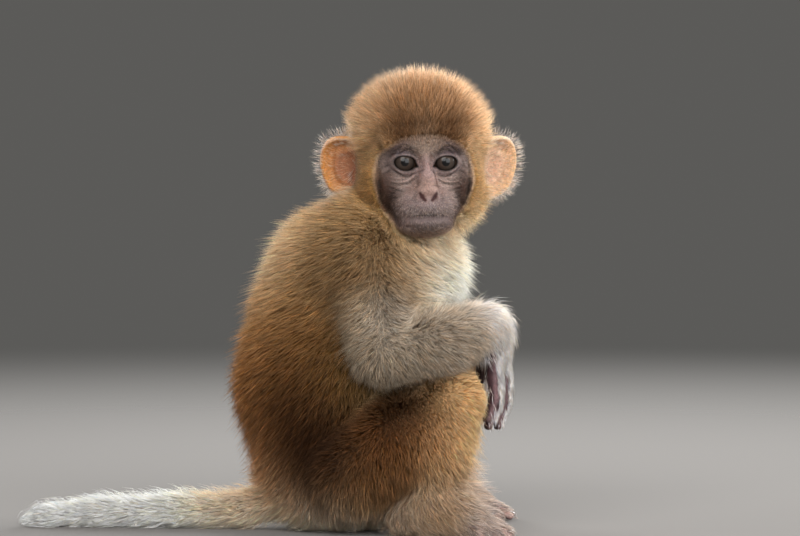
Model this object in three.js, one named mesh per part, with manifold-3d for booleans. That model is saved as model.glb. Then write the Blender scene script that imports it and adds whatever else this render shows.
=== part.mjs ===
// A young rhesus macaque that sits on the ground with its forearms over its knees and its head turned
// to its right: a still, life-size museum model. Millimetres, +Z up, +X the way the pelvis faces, +Y its
// left. The origin is on the floor, in the middle of the rump's flat.
//
// The forms give the outer surface of the coat. The trunk, head, hands and feet are implicit solids, smooth
// unions of round-ended cones and ellipsoids, that a net of points turns into meshes. The limbs and the tail
// are bent lathes. Neighbours are kept apart by cutting each with the next one's form grown by the gap, or
// with a thin cut at a joint.
import * as THREE from "three";
import { mergeVertices } from "three/addons/utils/BufferGeometryUtils.js";
import Module from "manifold-3d";

const wasm = await Module();
wasm.setup();

// ---- Driving dimensions ----
const GAP = 0.8; // clearance of a form from the one it lies against
const CUT = 0.4; // width of the cut at a joint
const FAR = 400; // half-size of the block that stands for half of space
const CAP_ROWS = 4; // rows in a limb's round end

const at = (x, y, z) => new THREE.Vector3(x, y, z);
const SEAT = at(0, 0, 0);
const PELVIS = at(2, 0, 38);
const BELLY = at(4, 0, 84);
const LAP = at(26, 0, 38); // the belly between the thighs
const THORAX = at(13, 0, 127);
const WITHERS = at(13, 3, 157);
const BREAST = at(52, -2, 148);
const NECK_BASE = at(30, 0, 168);
const NECK_TOP = at(50, 4, 190);
const HEAD = at(55, -2, 209);
const HEAD_YAW = -81; // the face turns this far from +X about +Z, so it looks over the right shoulder
const HEAD_PITCH = 5; // and looks down by this
const HEAD_ROLL = 2; // with its left side higher
const TRUNK_TWIST = 24; // the shoulders turn to the right of the pelvis

const SIDES = { right: -1, left: 1 };
const SHOULDER = { right: at(25, -30, 154), left: at(45, 28, 155) };
const ELBOW = { right: at(35, -50, 102), left: at(60, 50, 103) };
const MIDARM = { right: at(68, -44, 109), left: at(77, 43, 107) };
const WRIST = { right: at(99, -33, 118), left: at(96, 31, 112) };
const KNUCKLES = { right: at(103, -32, 88), left: at(104, 28, 84) };
const FINGER_DROP = 29; // from the knuckles down to the longest finger's tip
const FINGER_REACH = [0.8, 0.96, 1, 0.88]; // of each finger, from the outer one inwards
const HIP = { right: at(18, -30, 35), left: at(20, 30, 35) };
const KNEE = { right: at(76, -39, 77), left: at(79, 38, 76) };
const CALF = { right: at(69, -37, 53), left: at(72, 36, 53) };
const ANKLE = { right: at(71, -35, 27), left: at(74, 34, 27) };
const HEEL_BACK = 28; // the heel's distance behind the ankle
const FOOT_LENGTH = 72; // from the heel to the longest toe's last joint
const TOE_SETBACK = [8, 2, 0, 3]; // of each toe's tip, from the outer one inwards
const FOOT_TURN = 27; // each foot points outwards by this

const ARM_RADII = { shoulder: 24, elbow: 18.5, forearm: 19.5, wrist: 14.5 };
const LEG_RADII = { hip: 29, thigh: 27, knee: 19, calf: 20, ankle: 13 };
const THIGH_DEPTH = 1.2; // a thigh is this much deeper, seen from the side, than it is thick
const TAIL = [
  at(-14, 0, 21), // inside the rump
  at(-44, 2, 12),
  at(-84, 7, 10.6),
  at(-126, 12, 9.2),
  at(-158, 14, 6.1),
  at(-169, 14, 3.2), // the tip
];
const TAIL_RADII = [15, 12.5, 11, 9.8, 6.6, 3.5];
const TAIL_CUT = at(-33, 0, 0); // where the tail leaves the trunk
const NECK_CUT = 9; // the neck starts this far along from its base

const EYE_RADIUS = 8;
const EYE = { right: at(24, -11.7, 5), left: at(24, 11.7, 5) }; // in the head's own frame
const EAR_HEIGHT = 36;
const EAR_WIDTH = 37;
const EAR_THICKNESS = 3.4;
const EAR_SWEEP = 34; // the ear leans back from straight sideways

const radians = THREE.MathUtils.degToRad;
const clamp = THREE.MathUtils.clamp;
const lerp = THREE.MathUtils.lerp;

// ---- Implicit forms: functions of a point that are negative inside ----

// A cone with round ends: the distance to the nearest point of the line a-b, less the radius there.
function cone(a, b, ra, rb) {
  const axis = b.clone().sub(a);
  const squared = Math.max(axis.lengthSq(), 1e-9);
  return (p) => {
    const dx = p.x - a.x;
    const dy = p.y - a.y;
    const dz = p.z - a.z;
    const t = clamp((dx * axis.x + dy * axis.y + dz * axis.z) / squared, 0, 1);
    return Math.hypot(dx - t * axis.x, dy - t * axis.y, dz - t * axis.z) - lerp(ra, rb, t);
  };
}

const ball = (centre, radius) => cone(centre, centre, radius, radius);

// An ellipsoid of half-axes r, turned about the vertical by `turn` degrees.
function ellipsoid(centre, r, turn = 0) {
  const c = Math.cos(radians(turn));
  const s = Math.sin(radians(turn));
  return (p) => {
    const dx = p.x - centre.x;
    const dy = p.y - centre.y;
    const x = (c * dx + s * dy) / r.x;
    const y = (c * dy - s * dx) / r.y;
    const z = (p.z - centre.z) / r.z;
    const k = Math.hypot(x, y, z);
    return (k * (k - 1)) / Math.max(Math.hypot(x / r.x, y / r.y, z / r.z), 1e-9);
  };
}

const softMin = (a, b, k) => Math.min(a, b) - (Math.max(k - Math.abs(a - b), 0) ** 2 / k) * 0.25;
const blend = (k, ...forms) => (p) => forms.reduce((d, form) => softMin(d, form(p), k), 1e3);
const carve = (k, form, tool) => (p) => -softMin(-form(p), tool(p), k);
const grown = (form, by) => (p) => form(p) - by;

// A run of cones through several points.
const chain = (points, radii, k) =>
  blend(k, ...points.slice(1).map((b, i) => cone(points[i], b, radii[i], radii[i + 1])));

// ---- Nets ----

// Grid lines over a range, closer together between the marks `fine`.
function gridLines({ from, to, step, fine, fineStep }) {
  const marks = [from - step];
  while (marks.at(-1) < to + step) {
    const x = marks.at(-1);
    marks.push(x + (fine && x >= fine[0] && x < fine[1] ? fineStep : step));
  }
  return marks;
}

const CORNERS = [0, 1, 2, 3, 4, 5, 6, 7].map((c) => [c & 1, (c >> 1) & 1, (c >> 2) & 1]);
const EDGES = CORNERS.flatMap((_, a) => [1, 2, 4].filter((bit) => !(a & bit)).map((bit) => [a, a | bit]));

// The sheets of surface in a cell: each wraps one run of joined corners that lie inside the form.
function sheetsOf(value) {
  const inner = CORNERS.map((_, corner) => corner).filter((corner) => value[corner] < 0);
  if (inner.length === 0 || inner.length === 8) return [];
  const run = CORNERS.map((_, corner) => corner);
  for (let pass = 0; pass < 7; pass++)
    for (const [a, b] of EDGES)
      if (value[a] < 0 && value[b] < 0) run[a] = run[b] = Math.min(run[a], run[b]);
  return [...new Set(inner.map((corner) => run[corner]))].map((label) => {
    const corners = inner.filter((corner) => run[corner] === label);
    const crossed = EDGES.filter(([a, b]) => value[a] < 0 !== value[b] < 0);
    return { corners, edges: crossed.filter((edge) => edge.some((corner) => corners.includes(corner))) };
  });
}

// The form's surface as a closed geometry, in world space. The grid lies in `frame`: one vertex stands in
// each cell for each sheet of surface in it, and one quad over each grid edge that the surface crosses.
function net(form, frame, ranges) {
  const grid = ranges.map(gridLines);
  const [xs, ys, zs] = grid;
  const [nx, ny, nz] = grid.map((g) => g.length);
  const index = (i, j, k) => (k * ny + j) * nx + i;
  const inside = new Float64Array(nx * ny * nz);
  const p = new THREE.Vector3();
  for (let k = 0; k < nz; k++)
    for (let j = 0; j < ny; j++)
      for (let i = 0; i < nx; i++)
        inside[index(i, j, k)] = form(p.set(xs[i], ys[j], zs[k]).applyMatrix4(frame));
  const vertexOf = new Map();
  const points = [];
  for (let k = 0; k + 1 < nz; k++)
    for (let j = 0; j + 1 < ny; j++)
      for (let i = 0; i + 1 < nx; i++) {
        const value = CORNERS.map(([x, y, z]) => inside[index(i + x, j + y, k + z)]);
        for (const sheet of sheetsOf(value)) {
          const sum = new THREE.Vector3();
          for (const [a, b] of sheet.edges) {
            const t = value[a] / (value[a] - value[b]);
            sum.x += lerp(xs[i + CORNERS[a][0]], xs[i + CORNERS[b][0]], t);
            sum.y += lerp(ys[j + CORNERS[a][1]], ys[j + CORNERS[b][1]], t);
            sum.z += lerp(zs[k + CORNERS[a][2]], zs[k + CORNERS[b][2]], t);
          }
          for (const corner of sheet.corners) vertexOf.set(8 * index(i, j, k) + corner, points.length);
          points.push(ontoSurface(form, sum.divideScalar(sheet.edges.length).applyMatrix4(frame)));
        }
      }
  const triangles = [];
  // The quad round the grid edge that runs along `axis` from a grid point, through the four cells about it.
  const quad = (at, axis) => {
    const next = at.map((n, d) => n + (d === axis ? 1 : 0));
    const here = inside[index(...at)] < 0;
    if (here === inside[index(...next)] < 0) return;
    const solidEnd = here ? at : next;
    const [second, third] = [(axis + 1) % 3, (axis + 2) % 3];
    const ring = [[1, 1], [0, 1], [0, 0], [1, 0]].map(([u, v]) => {
      const cell = at.map((n, d) => n - (d === second ? u : d === third ? v : 0));
      const [x, y, z] = solidEnd.map((n, d) => n - cell[d]);
      return vertexOf.get(8 * index(...cell) + x + 2 * y + 4 * z);
    });
    const [e, f, g, h] = here ? ring : ring.reverse();
    const shorter = points[e].distanceTo(points[g]) < points[f].distanceTo(points[h]);
    triangles.push(...(shorter ? [e, f, g, e, g, h] : [f, g, h, f, h, e]));
  };
  for (let k = 1; k + 1 < nz; k++)
    for (let j = 1; j + 1 < ny; j++)
      for (let i = 1; i + 1 < nx; i++) for (const axis of [0, 1, 2]) quad([i, j, k], axis);
  return new THREE.BufferGeometry().setFromPoints(points).setIndex(triangles);
}

// Slides a point along the form's slope to where the form is zero.
function ontoSurface(form, point) {
  const step = 0.05;
  for (let turn = 0; turn < 4; turn++) {
    const d = form(point);
    const slope = new THREE.Vector3();
    for (const axis of ["x", "y", "z"]) {
      const beside = point.clone();
      beside[axis] += step;
      slope[axis] = (form(beside) - d) / step;
    }
    point.addScaledVector(slope, -clamp(d, -1.5, 1.5) / Math.max(slope.lengthSq(), 0.2));
  }
  return point;
}

// ---- Solids ----
function solid(geometry) {
  geometry.deleteAttribute("normal");
  geometry.deleteAttribute("uv");
  const merged = geometry.index ? geometry : mergeVertices(geometry, 1e-4);
  const mesh = new wasm.Mesh({
    numProp: 3,
    vertProperties: new Float32Array(merged.attributes.position.array),
    triVerts: new Uint32Array(merged.index.array),
  });
  return new wasm.Manifold(mesh);
}

function geometryOf(manifold) {
  const { vertProperties, triVerts } = manifold.getMesh();
  return new THREE.BufferGeometry()
    .setAttribute("position", new THREE.BufferAttribute(vertProperties, 3))
    .setIndex(new THREE.BufferAttribute(triVerts, 1));
}

// A frame at `from` whose +Z runs towards `to`.
const towards = (from, to) => new THREE.Matrix4().lookAt(to, from, at(0, 1, 0.01)).setPosition(from);

// The half of space past `point` on the side that `normal` shows.
function beyond(point, normal) {
  const block = new THREE.BoxGeometry(2 * FAR, 2 * FAR, 2 * FAR).translate(0, 0, FAR).toNonIndexed();
  return solid(block.applyMatrix4(towards(point, point.clone().add(normal))));
}

// The largest body of a solid, which drops the crumbs that a cut may leave.
const largest = (manifold) => manifold.decompose().sort((a, b) => b.volume() - a.volume())[0];

const FLOOR = beyond(SEAT, at(0, 0, -1));

// ---- Forms of the body ----
const trunkForm = blend(
  26,
  ellipsoid(PELVIS, at(43, 40, 42)),
  ellipsoid(BELLY, at(58, 46, 55)),
  ellipsoid(THORAX, at(57, 44, 46), -TRUNK_TWIST),
  ellipsoid(WITHERS, at(41, 38, 30), -TRUNK_TWIST),
  ball(BREAST, 35),
  ball(LAP, 37),
  ball(SHOULDER.right, 19),
  ball(SHOULDER.left, 19),
);
const neckForm = cone(NECK_BASE, NECK_TOP, 36, 31);
const bodyForm = blend(14, trunkForm, neckForm);

const headFrame = new THREE.Matrix4()
  .makeRotationFromEuler(new THREE.Euler(radians(HEAD_ROLL), radians(HEAD_PITCH), radians(HEAD_YAW), "ZYX"))
  .setPosition(HEAD);
const intoHead = headFrame.clone().invert();

// A form of the head is written in the head's own frame: x forward, y to its left and z up.
const onHead = (form) => {
  const q = new THREE.Vector3();
  return (p) => form(q.copy(p).applyMatrix4(intoHead));
};
const mirrored = (point) => at(point.x, -point.y, point.z);
const both = (make, point, ...rest) => [make(point, ...rest), make(mirrored(point), ...rest)];

function faceForm() {
  const skull = blend(
    10,
    ellipsoid(at(-5, 1.5, 14), at(45, 43.5, 39)), // braincase with its plush
    ...both(ellipsoid, at(4, 25, -12), at(26, 20, 26)), // furred cheeks
    ellipsoid(at(10, 0, -22), at(22, 27, 20)), // throat and jaw
  );
  const mask = blend(
    6,
    ellipsoid(at(13, 0, -6), at(19, 28, 31)), // bare mask
    cone(at(27, -17, 14), at(27, 17, 14), 6, 6), // brow
    cone(at(29, 0, 9), at(42, 0, -11), 4, 5.5), // bridge of the nose
    ellipsoid(at(31, 0, -20), at(17, 18, 12)), // muzzle
    ellipsoid(at(29, 0, -29), at(14, 14.5, 9)), // lower lip and chin
    ...both(ball, at(19, 20, -8), 9), // cheekbones
  );
  const sockets = blend(1, ...both(ellipsoid, at(35, 11.7, 5), at(8, 9, 7.5)));
  const lids = blend(1, ...both(ball, EYE.left, EYE_RADIUS + 1.5));
  const slits = blend(1, ...both(ellipsoid, at(33, 11.7, 5), at(7, 6.4, 4.6)));
  const nostrils = blend(1, ...both(ellipsoid, at(47.5, 3.4, -14.5), at(3, 1.6, 2.2)));
  const mouth = ellipsoid(at(46, 0, -24.5), at(6, 13, 1.2));
  const whole = blend(5, skull, mask);
  const socketed = blend(2, carve(5, whole, sockets), lids);
  return [slits, nostrils, mouth].reduce((form, tool) => carve(1.5, form, tool), socketed);
}
const headForm = onHead(faceForm());
const eyeballs = Object.fromEntries(
  Object.keys(SIDES).map((side) => [side, EYE[side].clone().applyMatrix4(headFrame)]),
);

// The hand hangs from the wrist: carpals, a flat back of four metacarpals, four fingers and a thumb.
function handForm(side) {
  const out = SIDES[side];
  const [wrist, knuckles] = [WRIST[side], KNUCKLES[side]];
  const bones = [];
  for (let n = 0; n < 4; n++) {
    const spread = out * (7.5 - 5 * n);
    const root = wrist.clone().add(at(3, spread * 0.5, -8));
    const knuckle = knuckles.clone().add(at(0.5 - 0.8 * Math.abs(n - 1.5), spread, 0));
    const reach = FINGER_DROP * FINGER_REACH[n];
    const middle = knuckle.clone().add(at(0.5, spread * 0.08, -0.5 * reach));
    const tip = knuckle.clone().add(at(-3.5, spread * 0.1, -reach));
    bones.push(chain([root, knuckle, middle, tip], [6.2, 4.6, 3.6, 2.9], 2));
  }
  const thumbRoot = wrist.clone().add(at(-1, -out * 7, -14));
  const thumbTip = thumbRoot.clone().add(at(-3, -out * 5, -18));
  const heel = cone(wrist, wrist.clone().add(at(3, 0, -14)), 12.5, 10);
  return blend(2.2, heel, ...bones, chain([thumbRoot, thumbTip], [5, 3], 2));
}

// The foot lies flat: heel, instep, four toes and a thumb-like big toe on the inner side.
function footForm(side) {
  const out = SIDES[side];
  const forward = at(Math.cos(radians(FOOT_TURN)), out * Math.sin(radians(FOOT_TURN)), 0);
  const sideways = at(-forward.y, forward.x, 0).multiplyScalar(out);
  const heelPoint = at(ANKLE[side].x, ANKLE[side].y, 0).addScaledVector(forward, -HEEL_BACK);
  const on = (length, across, height) =>
    heelPoint.clone().addScaledVector(forward, length).addScaledVector(sideways, across).setZ(height);
  const sole = chain([on(9, 0, 9), on(30, 0, 15), on(50, 1, 9)], [9.5, 14.5, 8.5], 6);
  const instep = cone(on(30, 0, 24), on(54, 1, 10), 11.5, 7);
  const toes = [];
  for (let n = 0; n < 4; n++) {
    const across = 8.5 - 5.4 * n;
    const length = FOOT_LENGTH - TOE_SETBACK[n];
    const joints = [on(46, across * 0.8, 8), on(59, across, 7.5), on(length, across * 1.15, 3)];
    toes.push(chain(joints, [5.4, 4.4, 3.2], 2));
  }
  const bigToe = chain([on(30, -7, 8), on(44, -14, 5), on(54, -18, 3.6)], [6, 4.6, 3.6], 2);
  return blend(2.2, blend(6, sole, instep), ...toes, bigToe);
}

// ---- Meshes of the forms ----
const world = new THREE.Matrix4();
const range = (from, to, step, fine, fineStep) => ({ from, to, step, fine, fineStep });
const cube = (low, high, step) => ["x", "y", "z"].map((axis) => range(low[axis], high[axis], step));

// A form's solid, and the same net moved outwards by the gap, which cuts the neighbours.
function part(form, frame, ranges) {
  const geometry = net(form, frame, ranges);
  const around = geometry.clone();
  const { position } = around.attributes;
  const p = new THREE.Vector3();
  for (let n = 0; n < position.count; n++)
    position.setXYZ(n, ...ontoSurface(grown(form, GAP), p.fromBufferAttribute(position, n)));
  return { whole: solid(geometry), tool: solid(around) };
}

// A limb or the tail: a round-ended lathe, bent along the smooth curve through its points. Its radius runs
// through `radii`, and `depth` stretches its section square to +Y.
function bentLathe(points, radii, { rows, sides, depth = 1, swell = 0 }) {
  const curve = new THREE.CatmullRomCurve3(points, false, "centripetal");
  const length = curve.getLength();
  const radiusAt = (share) => {
    const place = share * (radii.length - 1);
    const step = Math.min(Math.floor(place), radii.length - 2);
    return lerp(radii[step], radii[step + 1], place - step) + swell;
  };
  const profile = [];
  const [first, last] = [radiusAt(0), radiusAt(1)];
  for (let n = 0; n < CAP_ROWS; n++) {
    const angle = (0.5 * Math.PI * n) / CAP_ROWS;
    profile.push(new THREE.Vector2(first * Math.sin(angle), -first * Math.cos(angle)));
  }
  for (let n = 0; n <= rows; n++) profile.push(new THREE.Vector2(radiusAt(n / rows), (length * n) / rows));
  for (let n = CAP_ROWS - 1; n >= 0; n--) {
    const angle = (0.5 * Math.PI * n) / CAP_ROWS;
    profile.push(new THREE.Vector2(last * Math.sin(angle), length + last * Math.cos(angle)));
  }
  const geometry = new THREE.LatheGeometry(profile, sides);
  const { position } = geometry.attributes;
  for (let n = 0; n < position.count; n++) {
    const along = position.getY(n);
    const share = clamp(along / length, 0, 1);
    const tangent = curve.getTangentAt(share);
    const across = at(0, 1, 0).cross(tangent).normalize();
    const placed = curve.getPointAt(share).addScaledVector(tangent, along - share * length);
    placed.addScaledVector(across, position.getX(n) * depth);
    placed.addScaledVector(across.cross(tangent), position.getZ(n));
    position.setXYZ(n, ...placed);
  }
  return geometry;
}

// A bent lathe's solid, and the same one grown by the gap.
function limb(points, radii, options) {
  const build = (swell) => solid(bentLathe(points, radii, { ...options, swell }).toNonIndexed());
  return { whole: build(0), tool: build(GAP) };
}

const parts = {
  body: part(bodyForm, world, cube(at(-66, -72, -32), at(104, 72, 226), 13.5)),
  head: part(headForm, headFrame, [
    range(-58, 60, 11, [20, 60], 5.2),
    range(-50, 50, 11, [-28, 26], 5),
    range(-50, 62, 11, [-42, 14], 5),
  ]),
  tail: limb(TAIL, TAIL_RADII, { rows: 10, sides: 8 }),
};
// A coarser net with more room cuts the head's neighbours.
const aroundHead = cube(at(-58, -50, -50), at(60, 50, 62), 12);
parts.head.tool = solid(net(grown(headForm, 3 * GAP), headFrame, aroundHead));
for (const side of Object.keys(SIDES)) {
  const { shoulder, elbow, forearm, wrist } = ARM_RADII;
  const { hip, thigh, knee, calf, ankle } = LEG_RADII;
  parts[`${side}_upper_arm`] = limb([SHOULDER[side], ELBOW[side]], [shoulder, elbow], { rows: 3, sides: 10 });
  parts[`${side}_forearm`] = limb([ELBOW[side], MIDARM[side], WRIST[side]], [elbow, forearm, wrist], {
    rows: 5,
    sides: 10,
  });
  parts[`${side}_thigh`] = limb([HIP[side], KNEE[side]], [hip, thigh, knee], {
    rows: 4,
    sides: 10,
    depth: THIGH_DEPTH,
  });
  parts[`${side}_shin`] = limb([KNEE[side], CALF[side], ANKLE[side]], [knee, calf, ankle], {
    rows: 4,
    sides: 10,
  });
  const handFrame = new THREE.Matrix4().setPosition(WRIST[side]);
  parts[`${side}_hand`] = part(handForm(side), handFrame, cube(at(-16, -20, -66), at(24, 20, 16), 4.9));
  const footFrame = new THREE.Matrix4()
    .makeRotationZ(SIDES[side] * radians(FOOT_TURN))
    .setPosition(ANKLE[side].x, ANKLE[side].y, 0);
  parts[`${side}_foot`] = part(footForm(side), footFrame, [
    range(-40, 60, 6),
    range(-28, 24, 5),
    range(-8, 42, 6),
  ]);
}

// The ear is a dished plate with a rolled rim, grown from its middle in rings, thick in the middle.
function earGeometry(side) {
  const out = SIDES[side];
  const [rings, spokes] = [4, 16];
  const sweep = radians(EAR_SWEEP);
  const outward = at(-Math.sin(sweep), out * Math.cos(sweep), 0);
  const facing = at(Math.cos(sweep), out * Math.sin(sweep), 0);
  const middle = at(-3, out * 43.5 + 1.5, 1);
  const points = [];
  const place = (ring, spoke, face) => {
    const share = ring / rings;
    const angle = (2 * Math.PI * spoke) / spokes;
    const [c, s] = [Math.cos(angle), Math.sin(angle)];
    const square = (Math.abs(c) ** 2.6 + Math.abs(s) ** 2.6) ** (-1 / 2.6); // between an oval and a square
    const across = share * square * c * 0.5 * EAR_WIDTH;
    const up = share * square * s * 0.5 * EAR_HEIGHT * (1 + 0.1 * c);
    const dish = -5 * (1 - share ** 2) + 2.5 * Math.max(share - 0.7, 0);
    const half = 0.5 * EAR_THICKNESS * Math.sqrt(1 - share ** 4);
    return middle
      .clone()
      .addScaledVector(outward, across)
      .addScaledVector(facing, dish + face * half)
      .add(at(0, 0, up));
  };
  points.push(place(0, 0, 1));
  for (let row = 1; row < 2 * rings; row++)
    for (let s = 0; s < spokes; s++)
      points.push(row <= rings ? place(row, s, 1) : place(2 * rings - row, s, -1));
  points.push(place(0, 0, -1));
  const triangles = [];
  const add = (a, b, c) => (out > 0 ? triangles.push(a, c, b) : triangles.push(a, b, c));
  const rows = 2 * rings - 1;
  const vertex = (row, s) => 1 + row * spokes + (s % spokes);
  for (let s = 0; s < spokes; s++) {
    add(0, vertex(0, s + 1), vertex(0, s));
    for (let row = 0; row + 1 < rows; row++) {
      add(vertex(row, s), vertex(row, s + 1), vertex(row + 1, s + 1));
      add(vertex(row, s), vertex(row + 1, s + 1), vertex(row + 1, s));
    }
    add(points.length - 1, vertex(rows - 1, s), vertex(rows - 1, s + 1));
  }
  return new THREE.BufferGeometry().setFromPoints(points).setIndex(triangles).applyMatrix4(headFrame);
}

// ---- Parting ----
const minus = (from, ...tools) => largest(tools.reduce((left, tool) => left.subtract(tool), from));
const tools = Object.fromEntries(Object.entries(parts).map(([name, { tool }]) => [name, tool]));
const solids = {};

for (const [side, centre] of Object.entries(eyeballs)) {
  const eye = (radius) => new THREE.SphereGeometry(radius, 11, 8).rotateX(Math.PI / 2).toNonIndexed();
  const placed = (radius) => solid(eye(radius).applyMatrix4(headFrame.clone().setPosition(centre)));
  solids[`${side}_eye`] = placed(EYE_RADIUS);
  tools[`${side}_eye`] = placed(EYE_RADIUS + 0.6);
  solids[`${side}_ear`] = minus(solid(earGeometry(side)), tools.head, tools.body);
}
solids.head = minus(parts.head.whole, tools.right_eye, tools.left_eye);

// The two halves of space on either side of a thin cut at `point`, square to `line`.
function cutAt(point, line) {
  const shift = line.clone().setLength(CUT / 2);
  return {
    past: beyond(point.clone().add(shift), line),
    before: beyond(point.clone().sub(shift), line.clone().negate()),
  };
}

// The line that halves the bend a-b-c, to cut across.
const bend = (a, b, c) => b.clone().sub(a).normalize().add(c.clone().sub(b).normalize());

for (const side of Object.keys(SIDES)) {
  const name = (piece) => `${side}_${piece}`;
  const whole = (piece) => parts[name(piece)].whole;
  const elbow = cutAt(ELBOW[side], bend(SHOULDER[side], ELBOW[side], MIDARM[side]));
  const wrist = cutAt(WRIST[side], bend(MIDARM[side], WRIST[side], KNUCKLES[side]));
  const knee = cutAt(KNEE[side], bend(HIP[side], KNEE[side], ANKLE[side]));
  const ankle = cutAt(ANKLE[side], at(0.2, 0, -1));
  solids[name("hand")] = largest(whole("hand").intersect(wrist.past));
  solids[name("forearm")] = largest(whole("forearm").intersect(elbow.past).intersect(wrist.before));
  solids[name("upper_arm")] = minus(whole("upper_arm").intersect(elbow.before), tools.head);
  solids[name("foot")] = minus(whole("foot").intersect(ankle.past), FLOOR);
  solids[name("shin")] = minus(
    whole("shin").intersect(knee.past).intersect(ankle.before),
    tools[name("hand")],
    tools[name("forearm")],
  );
  solids[name("thigh")] = minus(
    whole("thigh").intersect(knee.before),
    beyond(at(0, SIDES[side] * 2, 0), at(0, -SIDES[side], 0)),
    tools[name("foot")],
    tools[name("forearm")],
    tools[name("hand")],
    FLOOR,
  );
}

const limbs = Object.keys(SIDES).flatMap((side) =>
  ["upper_arm", "forearm", "thigh", "shin", "foot"].map((piece) => tools[`${side}_${piece}`]),
);
const neckAxis = NECK_TOP.clone().sub(NECK_BASE).normalize();
const neck = cutAt(NECK_BASE.clone().addScaledVector(neckAxis, NECK_CUT), neckAxis);
const tail = cutAt(TAIL_CUT, at(-1, 0, 0));
solids.neck = minus(parts.body.whole.intersect(neck.past), tools.head, ...limbs);
solids.trunk = minus(
  parts.body.whole.intersect(neck.before),
  tools.tail.intersect(tail.past),
  tools.head,
  ...limbs,
  FLOOR,
);
// The tail starts clear of the trunk that its own grown form has cut.
const tailStart = cutAt(TAIL_CUT.clone().add(at(-CUT, 0, 0)), at(-1, 0, 0));
solids.tail = minus(parts.tail.whole.intersect(tailStart.past), FLOOR);

// ---- Materials ----
const finish = (color, roughness) => new THREE.MeshStandardMaterial({ color, roughness, metalness: 0 });
const golden = finish("#8a6236", 0.85);
const olive = finish("#96754a", 0.85);
const grizzled = finish("#8d8073", 0.85);
const cream = finish("#cdbba4", 0.85);
const russet = finish("#7b5228", 0.85);
const pink = finish("#a98c82", 0.6);
const orange = finish("#d08a58", 0.6);
const dark = finish("#2a211b", 0.15);
const materialOf = (name) => {
  if (name.endsWith("eye")) return dark;
  if (name.endsWith("ear")) return orange;
  if (/forearm|upper_arm/.test(name)) return grizzled;
  if (/hand|foot/.test(name)) return pink;
  if (/thigh|shin/.test(name)) return russet;
  return { head: olive, neck: olive, tail: cream }[name] ?? golden;
};

// ---- The model ----
// Each mesh turns about its own joint; what the head carries is grouped in the head's frame.
const joints = {
  trunk: PELVIS,
  tail: TAIL_CUT,
  neck: NECK_BASE,
  upper_arm: SHOULDER,
  forearm: ELBOW,
  hand: WRIST,
  thigh: HIP,
  shin: KNEE,
  foot: ANKLE,
};
const monkey = new THREE.Group();
const headGroup = new THREE.Group();
headGroup.applyMatrix4(headFrame);
monkey.add(headGroup);
for (const [name, manifold] of Object.entries(solids)) {
  const mesh = new THREE.Mesh(geometryOf(manifold), materialOf(name));
  mesh.name = name;
  if (/head|eye|ear$/.test(name)) {
    mesh.geometry.applyMatrix4(intoHead);
    headGroup.add(mesh);
    continue;
  }
  const side = Object.keys(SIDES).find((word) => name.startsWith(word));
  const joint = side ? joints[name.slice(side.length + 1)][side] : joints[name];
  mesh.geometry.translate(-joint.x, -joint.y, -joint.z);
  mesh.position.copy(joint);
  monkey.add(mesh);
}

export default monkey;
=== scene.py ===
import math

import bpy
import numpy as np
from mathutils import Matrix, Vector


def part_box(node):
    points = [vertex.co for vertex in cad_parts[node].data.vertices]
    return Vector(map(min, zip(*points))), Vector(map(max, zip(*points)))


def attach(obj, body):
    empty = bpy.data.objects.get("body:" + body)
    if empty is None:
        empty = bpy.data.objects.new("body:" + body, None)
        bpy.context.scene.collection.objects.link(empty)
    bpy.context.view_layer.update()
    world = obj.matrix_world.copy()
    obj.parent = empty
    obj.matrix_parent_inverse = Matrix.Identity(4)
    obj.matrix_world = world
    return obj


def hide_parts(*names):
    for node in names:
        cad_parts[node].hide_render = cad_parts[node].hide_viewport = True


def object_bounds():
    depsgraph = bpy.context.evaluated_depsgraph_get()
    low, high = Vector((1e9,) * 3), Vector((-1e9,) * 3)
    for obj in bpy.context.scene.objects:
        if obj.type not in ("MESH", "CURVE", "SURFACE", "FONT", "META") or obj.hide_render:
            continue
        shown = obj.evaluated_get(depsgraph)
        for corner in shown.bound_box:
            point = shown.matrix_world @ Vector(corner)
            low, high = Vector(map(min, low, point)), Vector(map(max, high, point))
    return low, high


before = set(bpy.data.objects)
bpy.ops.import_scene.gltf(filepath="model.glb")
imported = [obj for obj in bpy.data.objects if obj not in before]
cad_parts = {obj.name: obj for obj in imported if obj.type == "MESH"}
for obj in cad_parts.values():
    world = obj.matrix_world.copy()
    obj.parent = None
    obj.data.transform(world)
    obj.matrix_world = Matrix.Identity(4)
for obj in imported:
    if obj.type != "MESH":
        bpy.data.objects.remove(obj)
cad_low, cad_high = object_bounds()
draw = np.random.default_rng(24)

MM = 0.001
SIDES = {"right": -1, "left": 1}
F = np.float32
# In the functions below, p are points of the world and q the same points in the head's own frame, in mm.

# ---- Camera, floor and light ----
TARGET = (44.5, 0, 149.3)  # what the camera looks at, in millimetres
DISTANCE = 2200  # from the target
ELEVATION = 3  # degrees above the level
FLOOR_REACH = 9000.0  # from the origin to each side, in millimetres
LENS = 174  # millimetres, on a 36 mm wide sensor


def add_camera():
    """A long lens, square to the animal's side and a little above it: back along that line by DISTANCE."""
    data = bpy.data.cameras.new("camera")
    data.lens = LENS
    data.sensor_width = 36
    data.clip_end = 50
    camera = bpy.data.objects.new("camera", data)
    tilt = math.radians(ELEVATION)
    back = np.array([0, -math.cos(tilt), math.sin(tilt)]) * DISTANCE
    camera.location = (np.array(TARGET) + back) * MM
    camera.rotation_euler = (math.pi / 2 - tilt, 0, 0)
    bpy.context.collection.objects.link(camera)
    bpy.context.scene.camera = camera


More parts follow.
